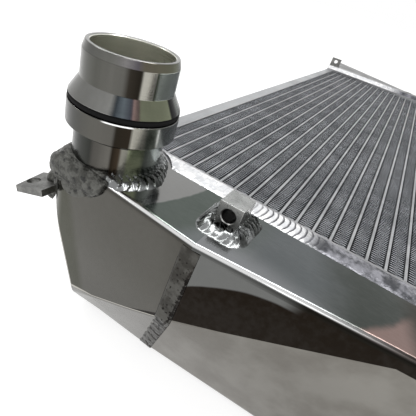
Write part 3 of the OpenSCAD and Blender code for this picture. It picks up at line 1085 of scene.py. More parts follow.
@dataclass(frozen=True)
class WeldMetal:
    """Weld metal: bright where it flowed, pitted where it is rough, painted shade between ripples.
    """

    name: str
    light: Corner
    dark: Corner
    pits: Corner = (0.04, 0.04, 0.04)
    pit_share: float = 0.0
    pit_edge: tuple[float, float] = (0.555, 0.63)
    rough_low: float = 0.14
    rough_high: float = 0.30
    lump: float = 260.0
    lump_height: float = 0.0003
    ripple: float = 0.0
    ripple_bow: float = 2.2
    # Painted shade in the valleys between the ripples.
    ripple_shade: Corner = (0.09, 0.09, 0.10)
    row_centre: float = -8.5
    row_half: float = 7.5
    fade: tuple[float, float] = (66.0, 90.0)
    dull: tuple[float, float] = (99.0, 120.0)
    dull_dark: Corner = (0.050, 0.052, 0.060)
    dull_light: Corner = (0.28, 0.28, 0.31)
    metallic: float = 1.0

    def build(self) -> Material:
        """Builds the finish.

        Returns:
            The material.
        """
        n = Nodes(self.name)
        lumps = n.noise(self.lump, 4.0)
        blotch = n.noise(self.lump * 0.5, 5.0)
        color = n.mix(n.spread(blotch, 0.42, 0.58), self.dark, self.light)
        if self.ripple:
            # Painted shade: dark crescents between the ripples.
            color = n.mix(self.ripple_shade_mask(n), color, self.ripple_shade)
            mottle = n.spread(n.noise(120.0, 5.0), 0.40, 0.62)
            grey = n.mix(mottle, self.dull_dark, self.dull_light)
            color = n.mix(n.spread(n.core("X"), *self.dull), color, grey)
        if self.pit_share:
            holes = n.spread(n.noise(240.0, 3.0), *self.pit_edge)
            color = n.mix(n.times(holes, self.pit_share), color, self.pits)
        rough = n.spread(blotch, 0.35, 0.65, self.rough_low, self.rough_high)
        material = n.metal(color, rough, n.bump(lumps, self.lump_height))
        n.shader.inputs["Metallic"].default_value = self.metallic
        return material

    def ripple_shade_mask(self, n: Nodes) -> NodeSocket:
        """Marks the painted shade, dark crescents between the ripples of a straight bead.

        Args:
            n: Nodes of the finish.

        Returns:
            How dark a place is, from 0 to 1.
        """
        x = n.core("X")
        v = n.math("DIVIDE", n.minus(n.core("Y"), self.row_centre), self.row_half)
        bow = n.times(n.times(v, v), self.ripple_bow)
        wobble = n.times(n.minus(n.noise(150.0, 2.0), 0.5), 1.6)
        phase = n.math("FRACT", n.math("DIVIDE", n.plus(n.plus(x, bow), wobble), self.ripple))
        ripple_shade = n.between(phase, (0.50, 0.80), (0.93, 1.0))
        ripple_shade = n.times(ripple_shade, n.spread(n.noise(45.0, 2.0), 0.38, 0.58, 0.25, 1.0))
        return n.times(ripple_shade, n.spread(x, *self.fade))


@dataclass(frozen=True)
class SealRubber:
    """Black rubber of a seal ring."""

    name: str = "seal_rubber"
    light: Corner = (0.012, 0.012, 0.012)
    dark: Corner = (0.004, 0.004, 0.004)
    shine: float = 0.15

    def build(self) -> Material:
        """Builds the finish.

        Returns:
            The material.
        """
        n = Nodes(self.name)
        grain = n.noise(1500.0, 3.0)
        n.link(n.mix(grain, self.dark, self.light), n.shader, "Base Color")
        n.link(n.spread(grain, 0.3, 0.7, 0.75, 0.9), n.shader, "Roughness")
        n.shader.inputs["Specular IOR Level"].default_value = self.shine
        n.link(n.bump(grain, 0.00003), n.shader, "Normal")
        return n.material


# Painted reflections round the turned neck: shares of the turn and colours, a table per height.
STEM_REFLECTIONS = (
    (0.100, (0.033, 0.033, 0.031)),
    (0.243, (0.038, 0.040, 0.036)),
    (0.263, (0.030, 0.031, 0.028)),
    (0.278, (0.066, 0.063, 0.057)),
    (0.331, (0.113, 0.108, 0.097)),
    (0.339, (0.016, 0.012, 0.008)),
    (0.362, (0.038, 0.028, 0.019)),
    (0.369, (0.195, 0.189, 0.164)),
    (0.386, (0.178, 0.178, 0.150)),
    (0.392, (0.245, 0.268, 0.175)),
    (0.433, (0.360, 0.398, 0.266)),
    (0.453, (0.128, 0.144, 0.128)),
    (0.508, (0.320, 0.352, 0.336)),
    (0.588, (0.096, 0.112, 0.102)),
)
COLLAR_REFLECTIONS = (
    (0.100, (0.066, 0.066, 0.063)),
    (0.220, (0.069, 0.069, 0.065)),
    (0.280, (0.102, 0.099, 0.089)),
    (0.335, (0.096, 0.092, 0.083)),
    (0.344, (0.018, 0.015, 0.011)),
    (0.380, (0.022, 0.017, 0.012)),
    (0.386, (0.312, 0.304, 0.265)),
    (0.420, (0.234, 0.226, 0.195)),
    (0.426, (0.156, 0.169, 0.143)),
    (0.455, (0.169, 0.182, 0.156)),
    (0.461, (0.715, 0.715, 0.676)),
    (0.467, (0.182, 0.195, 0.182)),
    (0.530, (0.247, 0.260, 0.260)),
    (0.600, (0.065, 0.072, 0.065)),
)
# A painted white highlight on the collar's top edge.
COLLAR_GLINT = (
    (0.100, (0.066, 0.066, 0.063)),
    (0.300, (0.102, 0.099, 0.089)),
    (0.312, (1.0, 1.0, 1.0)),
    (0.378, (1.0, 1.0, 1.0)),
    (0.388, (0.312, 0.304, 0.265)),
    (0.455, (0.169, 0.182, 0.156)),
    (0.530, (0.247, 0.260, 0.260)),
    (0.600, (0.065, 0.072, 0.065)),
)
CONE_REFLECTIONS = (
    (0.100, (0.170, 0.170, 0.163)),
    (0.220, (0.195, 0.195, 0.185)),
    (0.315, (0.314, 0.314, 0.300)),
    (0.330, (0.033, 0.040, 0.047)),
    (0.352, (0.058, 0.069, 0.077)),
    (0.374, (0.025, 0.026, 0.033)),
    (0.380, (0.138, 0.097, 0.089)),
    (0.394, (0.109, 0.083, 0.075)),
    (0.400, (0.189, 0.203, 0.140)),
    (0.500, (0.189, 0.203, 0.140)),
    (0.506, (0.004, 0.004, 0.004)),
    (0.532, (0.004, 0.004, 0.004)),
    (0.545, (0.093, 0.102, 0.093)),
    (0.600, (0.039, 0.044, 0.039)),
)
NOSE_REFLECTIONS = (
    (0.100, (0.108, 0.108, 0.099)),
    (0.200, (0.104, 0.104, 0.095)),
    (0.250, (0.086, 0.086, 0.077)),
    (0.300, (0.113, 0.111, 0.101)),
    (0.338, (0.099, 0.097, 0.088)),
    (0.356, (0.027, 0.023, 0.018)),
    (0.390, (0.013, 0.011, 0.008)),
    (0.397, (0.374, 0.365, 0.323)),
    (0.436, (0.357, 0.348, 0.306)),
    (0.441, (0.047, 0.053, 0.032)),
    (0.455, (0.443, 0.478, 0.427)),
    (0.560, (0.512, 0.546, 0.512)),
    (0.580, (0.150, 0.160, 0.128)),
    (0.610, (0.075, 0.081, 0.064)),
)
LEAD_REFLECTIONS = (
    (0.100, (0.124, 0.124, 0.113)),
    (0.220, (0.113, 0.113, 0.105)),
    (0.300, (0.181, 0.181, 0.166)),
    (0.340, (0.237, 0.227, 0.227)),
    (0.375, (0.113, 0.105, 0.118)),
    (0.395, (0.132, 0.118, 0.090)),
    (0.520, (0.105, 0.109, 0.076)),
    (0.560, (0.027, 0.032, 0.023)),
    (0.610, (0.027, 0.032, 0.023)),
)


Finish = BareMetal | PolishedTank | TurnedMetal | WeldMetal | SealRubber


def built(finish: Finish) -> Material:
    """Returns a dataclass field that holds a finish's material once it is built."""
    return field(default_factory=finish.build)


@dataclass
class Finishes:
    """All finishes of the radiator, built once and in this order."""

    fin: Material = built(
        BareMetal(
            "fin_metal", (0.78, 0.81, 0.85), (0.41, 0.43, 0.46), 60.0, 0.35, 0.5,
            # The fins' walls are painted dark as shade.
            side=(0.055, 0.058, 0.06),
        )
    )
    tube: Material = built(
        BareMetal(
            "tube_metal", (0.60, 0.61, 0.62), (0.42, 0.43, 0.44), 60.0, 0.30, 0.42,
            # The tube's sides are painted dark as shade, leaving a painted highlight on its crest.
            side=(0.16, 0.16, 0.165), shade_slope=(0.45, 0.80),
        )
    )
    plate: Material = built(
        BareMetal(
            "side_plate_metal", (0.60, 0.61, 0.62), (0.42, 0.43, 0.44), 9.0, 0.3, 0.42,
            400.0, stretch=(4.0, 0.3, 4.0),
        )
    )
    header: Material = built(BareMetal("header_metal", (0.55, 0.55, 0.56), (0.35, 0.35, 0.36)))
    inlet: Material = built(
        PolishedTank(
            "inlet_sheet",
            # Painted reflections: the top, face and facet tones and the fields below.
            top=(0.36, 0.36, 0.35),
            face=(0.084, 0.081, 0.072),
            facet=(0.180, 0.174, 0.162),
            under=(0.150, 0.145, 0.133),
            # Painted highlight along the lower crease.
            crease_highlight_share=0.7,
            top_reflections=(
                PaintedReflection((0.136, 0.160, 0.143), (44.0, -46.0), (1.0, -0.35), 0.8, 5.0, 0.003),
                PaintedReflection((0.23, 0.25, 0.25), (62.0, -57.0), (1.0, -0.7), 5.0, 4.0),
                PaintedReflection((0.30, 0.32, 0.33), (62.0, -16.0), (0.8, 0.8), 3.0, 6.0),
            ),
            face_reflections=(
                PaintedReflection((0.098, 0.095, 0.086), (20.0, -44.0), (0.1, -1.0), 20.0),
                PaintedReflection((0.072, 0.069, 0.061), (62.0, -8.0), (1.0, 0.25), 9.0),
                PaintedReflection((0.062, 0.062, 0.048), (-2.0, -40.0), (-1.0, -0.30), 4.0),
                PaintedReflection((0.016, 0.014, 0.012), (50.0, -59.6), (0.72, -1.0), 0.4),
            ),
        )
    )
    taper: Material = built(
        PolishedTank(
            "taper_sheet",
            # Painted reflections: the top, face and facet tones and the fields below.
            top=(0.16, 0.18, 0.17),
            face=(0.122, 0.124, 0.120),
            facet=(0.205, 0.196, 0.177),
            under=(0.152, 0.142, 0.126),
            top_reflections=(
                PaintedReflection((0.18, 0.195, 0.20), (92.0, -40.0), (1.0, 0.0), 8.0, 12.0),
                PaintedReflection((0.34, 0.35, 0.36), (100.0, -49.0), (-0.15, -0.99), 9.0, 5.0),
                PaintedReflection((0.094, 0.104, 0.095), (128.0, -34.0), (1.0, 0.15), 12.0, 14.0),
                PaintedReflection((0.36, 0.255, 0.23), (149.0, -45.0), (0.8, -0.6), 2.2, 9.0),
                PaintedReflection((0.08, 0.075, 0.065), (163.0, -34.0), (1.0, 0.3), 6.0, 8.0),
            ),
            face_reflections=(
                PaintedReflection((0.011, 0.008, 0.0055), (118.0, -3.6), (0.0, -1.0), 0.7, 1.2, -0.0089),
                PaintedReflection((0.011, 0.008, 0.0055), (118.0, -3.0), (1.0, -0.4), 5.0, 1.2),
            ),
            rough_top=0.10,
            rough_face=0.14,
        )
    )
    far_tank: Material = built(
        BareMetal("far_sheet", (0.28, 0.28, 0.28), (0.19, 0.19, 0.19), 18.0)
    )
    ground: Material = built(
        WeldMetal(
            "ground_weld", (0.082, 0.080, 0.073), (0.040, 0.038, 0.034), rough_low=0.3,
            rough_high=0.42, lump=180.0, lump_height=0.0004,
        )
    )
    seam_edge: Material = built(
        WeldMetal(
            "seam_edge", (0.030, 0.027, 0.024), (0.008, 0.007, 0.006), rough_low=0.4,
            rough_high=0.6,
        )
    )
    weld: Material = built(
        WeldMetal(
            "bright_weld", (1.0, 1.0, 1.0), (0.80, 0.81, 0.83), ripple=3.3, metallic=0.3,
            lump=300.0, lump_height=0.0006,
        )
    )
    flowed: Material = built(
        WeldMetal(
            "flowed_weld", (0.30, 0.31, 0.31), (0.042, 0.045, 0.042), lump=90.0,
            lump_height=0.0002, rough_low=0.12, rough_high=0.24,
        )
    )
    rough_weld: Material = built(
        WeldMetal(
            "rough_weld", (0.150, 0.150, 0.139), (0.072, 0.072, 0.066), pit_share=0.85,
            rough_low=0.45, rough_high=0.60, lump=420.0, lump_height=0.0010,
        )
    )
    neck: Material = built(
        TurnedMetal(
            "turned_neck",
            center=(-0.178054, -0.370235),
            foot_z=0.1114,
            # Painted reflections, by height up the neck.
            reflection_zones=(
                (0.0, STEM_REFLECTIONS),
                (17.0, COLLAR_REFLECTIONS),
                (30.2, COLLAR_GLINT),
                (33.0, CONE_REFLECTIONS),
                (42.4, NOSE_REFLECTIONS),
                (55.2, LEAD_REFLECTIONS),
            ),
        )
    )
    far_neck: Material = built(
        BareMetal("turned_far_neck", (0.36, 0.36, 0.35), (0.24, 0.24, 0.235), 20.0, 0.2, 0.3)
    )
    block: Material = built(
        BareMetal(
            "block_metal", (0.62, 0.63, 0.62), (0.42, 0.43, 0.42), 120.0, 0.22, 0.34,
            # The block's sides are painted darker as shade, so its top reads lit.
            side=(0.31, 0.31, 0.30),
        )
    )
    # The threaded bore, painted near black as shade.
    bore: Material = built(
        BareMetal("bore_shade_metal", (0.022, 0.020, 0.018), (0.008, 0.008, 0.007), 300.0, 0.4, 0.6)
    )
    tab: Material = built(
        BareMetal("tab_metal", (0.24, 0.24, 0.23), (0.13, 0.13, 0.125), 160.0, 0.3, 0.5)
    )
    rubber: Material = built(SealRubber())


# Sub-assemblies


@dataclass
class Core:
    """Tubes, folded fins, side plates and headers."""

    finishes: Finishes
    fold_pitch: float = 2.2
    sheet: float = 0.30
    banks: int = 3
    recess: float = 0.35
    end_gap: float = 1.0
    side_gap: float = 0.05
    jitter: float = 0.05

    def build(self) -> None:
        """Builds the fins at their real spacing and dresses the solids."""
        for names, material in (
            (("near_row_tubes", "far_row_tubes"), self.finishes.tube),
            (("left_side_plate", "right_side_plate"), self.finishes.plate),
            (("near_header", "far_header"), self.finishes.header),
        ):
            for name in names:
                dress_solid(name, material)
        strips = list(range(LAYOUT.tube_count + 1))
        size = math.ceil(len(strips) / self.banks)
        for b in range(self.banks):
            self.fin_bank(f"fin_bank_{b + 1}", strips[b * size : (b + 1) * size])

    def fin_bank(self, name: str, strips: Sequence[int]) -> None:
        """Builds the fin strips of one third of the core as one piece.

        Args:
            name: Name of the piece.
            strips: Numbers of the gaps that it fills.
        """
        lay = LAYOUT
        points: list[Vector] = []
        faces: Faces = []
        height = lay.tube_pitch - lay.tube_thick
        half = self.fold_pitch / 2
        folds = int((lay.core_len - 2 * self.end_gap) / half)
        y0 = (lay.core_len - folds * half) / 2
        top, bottom = -self.recess, -lay.core_depth + self.recess
        for k in strips:
            x0 = -lay.tube_pitch + lay.tube_thick / 2 + k * lay.tube_pitch
            base = len(points)
            for i in range(folds + 1):
                stray = self.jitter * noise.noise(Vector((k * 3.1, i * 0.37, 0.0)))
                x = x0 + (self.side_gap if i % 2 == 0 else height - self.side_gap)
                y = y0 + i * half + stray
                for dy in (-self.sheet / 2, self.sheet / 2):
                    for z in (bottom, top):
                        points.append(lay.point(x, y + dy, z))
            for i in range(folds):
                a, b = base + 4 * i, base + 4 * (i + 1)
                if i % 2 == 0:
                    ring = ((0, 1), (1, 3), (3, 2), (2, 0))
                else:
                    ring = ((1, 0), (3, 1), (2, 3), (0, 2))
                for p, q in ring:
                    quad = (a + p, b + p, b + q, a + q)
                    faces.append(quad if i % 2 == 0 else tuple(reversed(quad)))
            faces.append((base, base + 2, base + 3, base + 1))
            last = base + 4 * folds
            faces.append((last, last + 1, last + 3, last + 2))
        new_piece(name, (points, faces), self.finishes.fin, "fins", 20.0)


@dataclass
class NearTank:
    """Inlet end, tapered section, seam and cap of the near tank."""

    finishes: Finishes
    shape: TankShape = SHAPE
    fold_steps: int = 8
    end_steps: int = 12
    hole_r: float = 24.7
    hole_steps: int = 96
    inlet_places: tuple[float, ...] = (19.0, 45.0)
    taper_places: tuple[float, ...] = (98.0, 130.0, 150.0, 180.0, 260.0)
    soft_crease: float = 26.0
    soft_from: float = 12.0
    soft_run: float = 24.0
    overlap: float = 1.0
    mouth_in: float = 4.0

    def build(self) -> None:
        """Builds both sections and the seam, and dresses the cap."""
        self.build_inlet()
        self.build_taper()
        Seam(self.finishes, self.shape).build()
        dress_solid("near_tank_cap", self.finishes.taper)

    def skin(self, ring: Ring, softer: float = 0.0) -> Ring:
        """Returns a section's outside, its crease rounded by so much more."""
        r = self.shape.fold_r
        return folded(ring, r, self.fold_steps, 2 * r + softer)

    def lining(self, ring: Ring) -> Ring:
        """Returns a section's inside, one wall in from its corners."""
        inner_r = self.shape.fold_r - LAYOUT.sheet + 1
        return folded(inset(ring, LAYOUT.sheet), inner_r, self.fold_steps)

    def shell(
        self, name: str, outer: Sequence[Ring], inner: Sequence[Ring], cutters: Sequence[Object]
    ) -> Object:
        """Returns a hollow section of the tank.

        Args:
            name: Name of the piece.
            outer: Sections of its outside, from left to right.
            inner: Sections of its inside.
            cutters: Further solids to cut away.

        Returns:
            The carved object.
        """
        piece = raw_solid(name, *loft(outer))
        carve(piece, [raw_solid("inside", *loft(inner)), *cutters])
        return piece

    def mouth(self, left: float, right: float) -> Object:
        """Makes the cutter that opens the tank to its header.

        Args:
            left: Place across the tubes where the opening starts.
            right: Place where it ends.

        Returns:
            The cutter.
        """
        lay = LAYOUT
        return box_solid(
            "mouth",
            lay.point(left, -lay.header_depth - self.mouth_in, lay.floor_z + lay.sheet),
            lay.point(right, -lay.header_depth + self.overlap, lay.top_z - lay.sheet),
        )

    def build_inlet(self) -> None:
        """Builds the inlet end with its rounded outer end and the hole of the neck."""
        s, lay = self.shape, LAYOUT
        places = [
            s.near_left + s.end_corner * (1 - math.cos(math.pi / 2 * i / self.end_steps))
            for i in range(self.end_steps + 1)
        ]
        places += [s.near_left + s.facet_w, *self.inlet_places]
        outer = [
            self.skin(
                s.inlet_corners(p, p),
                self.soft_crease * unit((self.soft_from - p) / self.soft_run),
            )
            for p in places
        ]
        outer.append(self.skin(s.seam_corners(0.0)))
        inner = [self.lining(s.inlet_corners(p, p + lay.sheet)) for p in places]
        inner.append(self.lining(s.seam_corners(self.overlap)))
        neck = side_point(Side.NEAR, lay.neck_x, lay.neck_reach, lay.top_z)
        plug = ((self.hole_r, -lay.sheet - 1), (self.hole_r, 2.0))
        hole = raw_solid("hole", *turned_plug(plug, Matrix.Translation(neck), self.hole_steps))
        mouth = self.mouth(lay.header_left + lay.sheet, s.seam_x + s.seam_lean)
        piece = self.shell("inlet_end", outer, inner, (mouth, hole))
        paint(piece, self.finishes.inlet)
        finish_piece(piece, "inlet_tank", 35.0)

    def build_taper(self) -> None:
        """Builds the tapered section, open towards its cap."""
        s, lay = self.shape, LAYOUT
        outer = [self.skin(s.seam_corners(0.0))]
        inner = [self.lining(s.seam_corners(-self.overlap))]
        for x in sorted((*self.taper_places, s.runout_x)):
            outer.append(self.skin(s.taper_corners(x)))
            inner.append(self.lining(s.taper_corners(x)))
        outer.append(self.skin(s.taper_corners(lay.header_right)))
        inner.append(self.lining(s.taper_corners(lay.header_right + self.overlap)))
        mouth = self.mouth(s.seam_x - 2 * s.seam_lean, lay.header_right + self.overlap)
        piece = self.shell("taper_section", outer, inner, (mouth,))
        paint(piece, self.finishes.taper)
        finish_piece(piece, "near_taper_tank", 35.0)


@dataclass
class Seam:
    """Ground weld band of the near tank, with uneven edges, pits and file marks."""

    finishes: Finishes
    shape: TankShape = SHAPE
    half_width: float = 4.75
    height: float = 0.6
    columns: int = 26
    fold_steps: int = 12
    step: float = 0.45
    start_below: float = 2.2
    stop_reach: float = 16.5
    mark_turn: float = 0.66
    mark_lean: float = 0.55
    mark_depth: float = 0.10
    mark_min: float = 0.45
    worn_min: float = -0.12
    clean_top: float = 9.0
    left_gap: float = 1.0
    right_gap: float = 1.6
    line_from: float = 13.0
    line_to: float = 68.0
    line_in: float = 2.2
    line_half: float = 1.7
    bend_from: float = 38.0
    bend_run: float = 26.0
    bend_in: float = 9.0
    pit_min: float = 0.40
    pit_margin: int = 3

    def build(self) -> None:
        """Builds the band and colours its dark spots."""
        s, top_z, columns, height = self.shape, LAYOUT.top_z, self.columns, self.height
        rings = [
            densify(
                folded(
                    inset(s.seam_corners(self.half_width * (2 * c / columns - 1)), -height),
                    s.fold_r + height,
                    self.fold_steps,
                ),
                self.step,
            )
            for c in range(columns + 1)
        ]
        count = min(len(ring) for ring in rings)
        start = next(i for i in range(count) if rings[0][i][2] < top_z - self.start_below)
        stop = next(i for i in range(start, count) if rings[0][i][1] < self.stop_reach)
        points: list[Vector] = []
        for c, ring in enumerate(rings):
            edge = min(1.0, min(c, columns - c) / 2.0)
            for i in range(start, stop):
                x, reach, z = ring[i]
                keep = edge * (0.25 + 0.75 * min(1.0, (i - start) / 16.0))
                lump = noise.noise(Vector((x * 0.6, reach * 0.3, z * 0.45)))
                sink = height * (1 - keep) + keep * (0.10 + 0.16 * lump)
                if z < top_z - s.front_seam - 2:
                    sink += keep * self.mark_depth * max(0.0, math.sin(self.mark_at(x, z)))
                sink = max(0.0, min(height - 0.02, sink))
                nr, nz = outward(ring, i)
                points.append(side_point(Side.NEAR, x, reach - nr * sink, z - nz * sink))
        n = stop - start
        faces = wall_faces(range(columns), columns + 1, n)
        band = new_piece(
            "near_seam_band", (points, faces), self.finishes.ground,
            "near_seam_weld", 50.0,
        )
        band.data.materials.append(self.finishes.seam_edge)
        spots = [(c, i) for c in range(columns) for i in range(n - 1)]
        for polygon, (c, i) in zip(band.data.polygons, spots):
            polygon.material_index = int(self.is_dark(c + 0.5, rings[c][start + i], i))

    def mark_at(self, x: float, z: float) -> float:
        """Returns the phase of the file marks at a place."""
        return self.mark_turn * (z + self.mark_lean * x)

    def is_dark(self, c: float, place: Corner, i: int) -> bool:
        """Says whether a spot of the seam is a dark gap, pit or file mark.

        Args:
            c: Column of the spot, counted from the left edge.
            place: The spot's x, reach and height.
            i: Number of the spot down the seam.

        Returns:
            True where the spot is dark.
        """
        x, _, z = place
        right = self.columns - c
        depth = LAYOUT.top_z - z
        wander = noise.noise(Vector((0.0, i * 0.07, 11.0)))
        rough = noise.noise(Vector((0.0, i * 0.33, 5.0)))
        if depth < self.clean_top:
            return False
        if c < self.left_gap + 0.5 * wander:
            return True
        if right < self.right_gap + 2.0 * wander + 3.0 * rough:
            return True
        bend = self.bend_in * unit((depth - self.bend_from) / self.bend_run) ** 1.4
        drift = self.line_in + bend + 3.0 * wander
        if self.line_from < depth < self.line_to:
            if abs(right - drift) < self.line_half + 2.6 * rough:
                return True
        if depth > self.shape.front_seam + 1.0 and c > 4:
            slash = math.sin(self.mark_at(x, z) + 1.2 * rough)
            worn = noise.noise(Vector((x * 0.5, depth * 0.12, 7.0)))
            return slash > self.mark_min and worn > self.worn_min
        pit = noise.noise(Vector((x * 0.75, depth * 0.75, 2.0)))
        return pit > self.pit_min and self.pit_margin < min(c, right)


def outward(ring: Ring, i: int) -> tuple[float, float]:
    """Returns the outward direction of a section, in reach and height."""
    d = side_dir(ring[i - 1], ring[min(len(ring) - 1, i + 1)])
    return -d[1], d[0]


def densify(ring: Ring, step: float) -> Ring:
    """Adds points to the straight sides of a section.

    Args:
        ring: The section.
        step: Longest distance between points.

    Returns:
        The section with more points.
    """
    out: Ring = [ring[0]]
    for a, b in zip(ring, ring[1:]):
        length = math.dist(a[1:], b[1:])
        pieces = max(1, round(length / step))
        for k in range(1, pieces + 1):
            t = k / pieces
            out.append(tuple(p + (q - p) * t for p, q in zip(a, b)))
    return out


@dataclass
class FarTank:
    """Outlet end, tapered section, seam and cap of the far tank."""

    finishes: Finishes

    def build(self) -> None:
        """Dresses the far tank."""
        for name in ("outlet_tank", "far_taper_tank", "far_tank_cap"):
            dress_solid(name, self.finishes.far_tank)
        dress_solid("far_seam_weld", self.finishes.ground)


@dataclass
class Neck:
    """A turned hose neck with its seal ring."""

    finishes: Finishes
    name: str
    place: Matrix
    metal: Material
    steps: int = 144
    bore_r: float = 20.7
    nose_r: float = 24.1
    collar_r: float = 29.2
    neck_h: float = 59.0
    foot_z: float = -3.0
    collar_z: float = 17.0
    collar_chamfer: float = 2.8
    groove_z: float = 31.0
    groove_w: float = 3.2
    groove_d: float = 3.3
    seal_d: float = 3.0
    seal_steps: int = 20
    seal_gap: float = 0.05
    cone_z: float = 42.4
    cone_lip: float = 0.2
    nose_lead: float = 1.2
    nose_lead_h: float = 4.0
    bore_chamfer: float = 0.6

    def build(self) -> None:
        """Builds the neck and its seal ring."""
        stem_r, groove_r = LAYOUT.stem_r, self.collar_r - self.groove_d
        cone_foot = self.groove_z + self.groove_w
        corners = [
            (self.bore_r, self.foot_z, 0.0),
            (stem_r, self.foot_z, 0.0),
            (stem_r, self.collar_z, 0.5),
            (self.collar_r, self.collar_z + self.collar_chamfer, 0.5),
            (self.collar_r, self.groove_z, 0.3),
            (groove_r, self.groove_z, 0.2),
            (groove_r, cone_foot, 0.2),
            (self.collar_r - self.cone_lip, cone_foot, 0.3),
            (self.nose_r, self.cone_z, 1.0),
            (self.nose_r, self.neck_h - self.nose_lead_h, 1.2),
            (self.nose_r - self.nose_lead, self.neck_h, 0.7),
            (self.bore_r + self.bore_chamfer, self.neck_h, 0.4),
            (self.bore_r, self.neck_h - self.bore_chamfer, 0.4),
        ]
        shape = turned(rounded_profile(corners), self.place, self.steps)
        new_piece(
            f"{self.name}_turned_neck", shape, self.metal,
            f"{self.name}_neck", 28.0,
        )
        self.build_seal()

    def build_seal(self) -> None:
        """Builds the seal ring in its groove."""
        half = self.seal_d / 2
        r = self.collar_r - self.groove_d + half + self.seal_gap
        z = self.groove_z + self.groove_w / 2
        turns = [2 * math.pi * i / self.seal_steps for i in range(self.seal_steps)]
        ring = [(r + half * math.cos(t), z + half * math.sin(t)) for t in turns]
        new_piece(
            f"{self.name}_seal_ring", turned(ring, self.place, self.steps),
            self.finishes.rubber, f"{self.name}_seal", 30.0,
        )


@dataclass
class HeaderWeld:
    """Weld beads round a header: rippled on top, plain below and at the corners."""

    finishes: Finishes
    width: float = 15.0
    height: float = 1.4
    ripple: float = 3.3
    ripple_bow: float = 2.2
    centre: float = -8.5
    clear_r: float = 32.2
    top_step: float = 0.45
    bottom_step: float = 2.0
    rows: int = 18
    corner_r: float = 2.0
    corner_out: float = 2.0
    corner_short: float = 10.0
    corner_steps: int = 16
    corner_levels: int = 60

    def build(self) -> None:
        """Builds the bead of the near header as one piece and dresses the far one."""
        lay = LAYOUT
        points: list[Vector] = []
        faces: Faces = []
        self.flat_bead(points, faces, True)
        self.flat_bead(points, faces, False)
        for x in (lay.header_left - self.corner_out, lay.header_right + self.corner_out):
            self.corner_bead(points, faces, x)
        new_piece(
            "near_bead", (points, faces), self.finishes.weld,
            "near_header_weld", 60.0,
        )
        dress_solid("far_header_weld", self.finishes.weld)

    def crown(self, v: float) -> float:
        """Returns the height of the bead at a share of its width."""
        return self.height * (1 - (2 * v - 1) ** 2) ** 0.7

    def flat_bead(self, points: list[Vector], faces: Faces, top: bool) -> None:
        """Adds the bead along the top or the bottom of the header.

        Args:
            points: Points of the piece so far.
            faces: Faces of the piece so far.
            top: True for the rippled bead on top, False for the plain one below.
        """
        lay = LAYOUT
        length = lay.header_right - lay.header_left
        columns = int(length / (self.top_step if top else self.bottom_step))
        base, n = len(points), self.rows + 1
        for c in range(columns + 1):
            x = lay.header_left + length * c / columns
            for i in range(n):
                v = i / self.rows
                wander = 0.5 * noise.noise(Vector((x * 0.25, 5.0 * (v > 0.5), 0.0)))
                y = self.centre + self.width * (v - 0.5) * (0.93 + 0.07 * wander)
                rise = self.crown(v)
                if top:
                    bow = self.ripple_bow * (2 * v - 1) ** 2
                    saw = 1.0 - ((x + bow) / self.ripple) % 1.0
                    rise *= 0.62 + 0.38 * saw
                    rise *= 1.0 + 0.12 * noise.noise(Vector((x * 0.6, v * 4, 9.0)))
                rise = max(0.0, min(self.height, rise))
                points.append(lay.point(x, y, lay.top_z + rise if top else lay.floor_z - rise))
        for c in range(columns):
            x = lay.header_left + length * (c + 0.5) / columns
            for i in range(self.rows):
                y = self.centre + self.width * ((i + 0.5) / self.rows - 0.5)
                if top and math.dist((x, y), (lay.neck_x, -lay.neck_reach)) < self.clear_r:
                    continue
                a = base + c * n + i
                quad = (a, a + n, a + n + 1, a + 1)
                faces.append(quad if top else tuple(reversed(quad)))

    def corner_bead(self, points: list[Vector], faces: Faces, x: float) -> None:
        """Adds the upright bead at one end of the header.

        Args:
            points: Points of the piece so far.
            faces: Faces of the piece so far.
            x: Place of the bead across the tubes.
        """
        lay = LAYOUT
        low, high = lay.floor_z + self.corner_short, lay.top_z - self.corner_short
        y = -lay.header_depth + self.corner_out
        base = len(points)
        for j in range(self.corner_levels + 1):
            z = low + (high - low) * j / self.corner_levels
            r = self.corner_r * (0.92 + 0.08 * math.sin(z * 2.2))
            for k in range(self.corner_steps):
                p = around(r, k / self.corner_steps, z)
                points.append(lay.point(x + p.x, y + p.y, z))
        faces += tube_faces(self.corner_levels + 1, self.corner_steps, base)


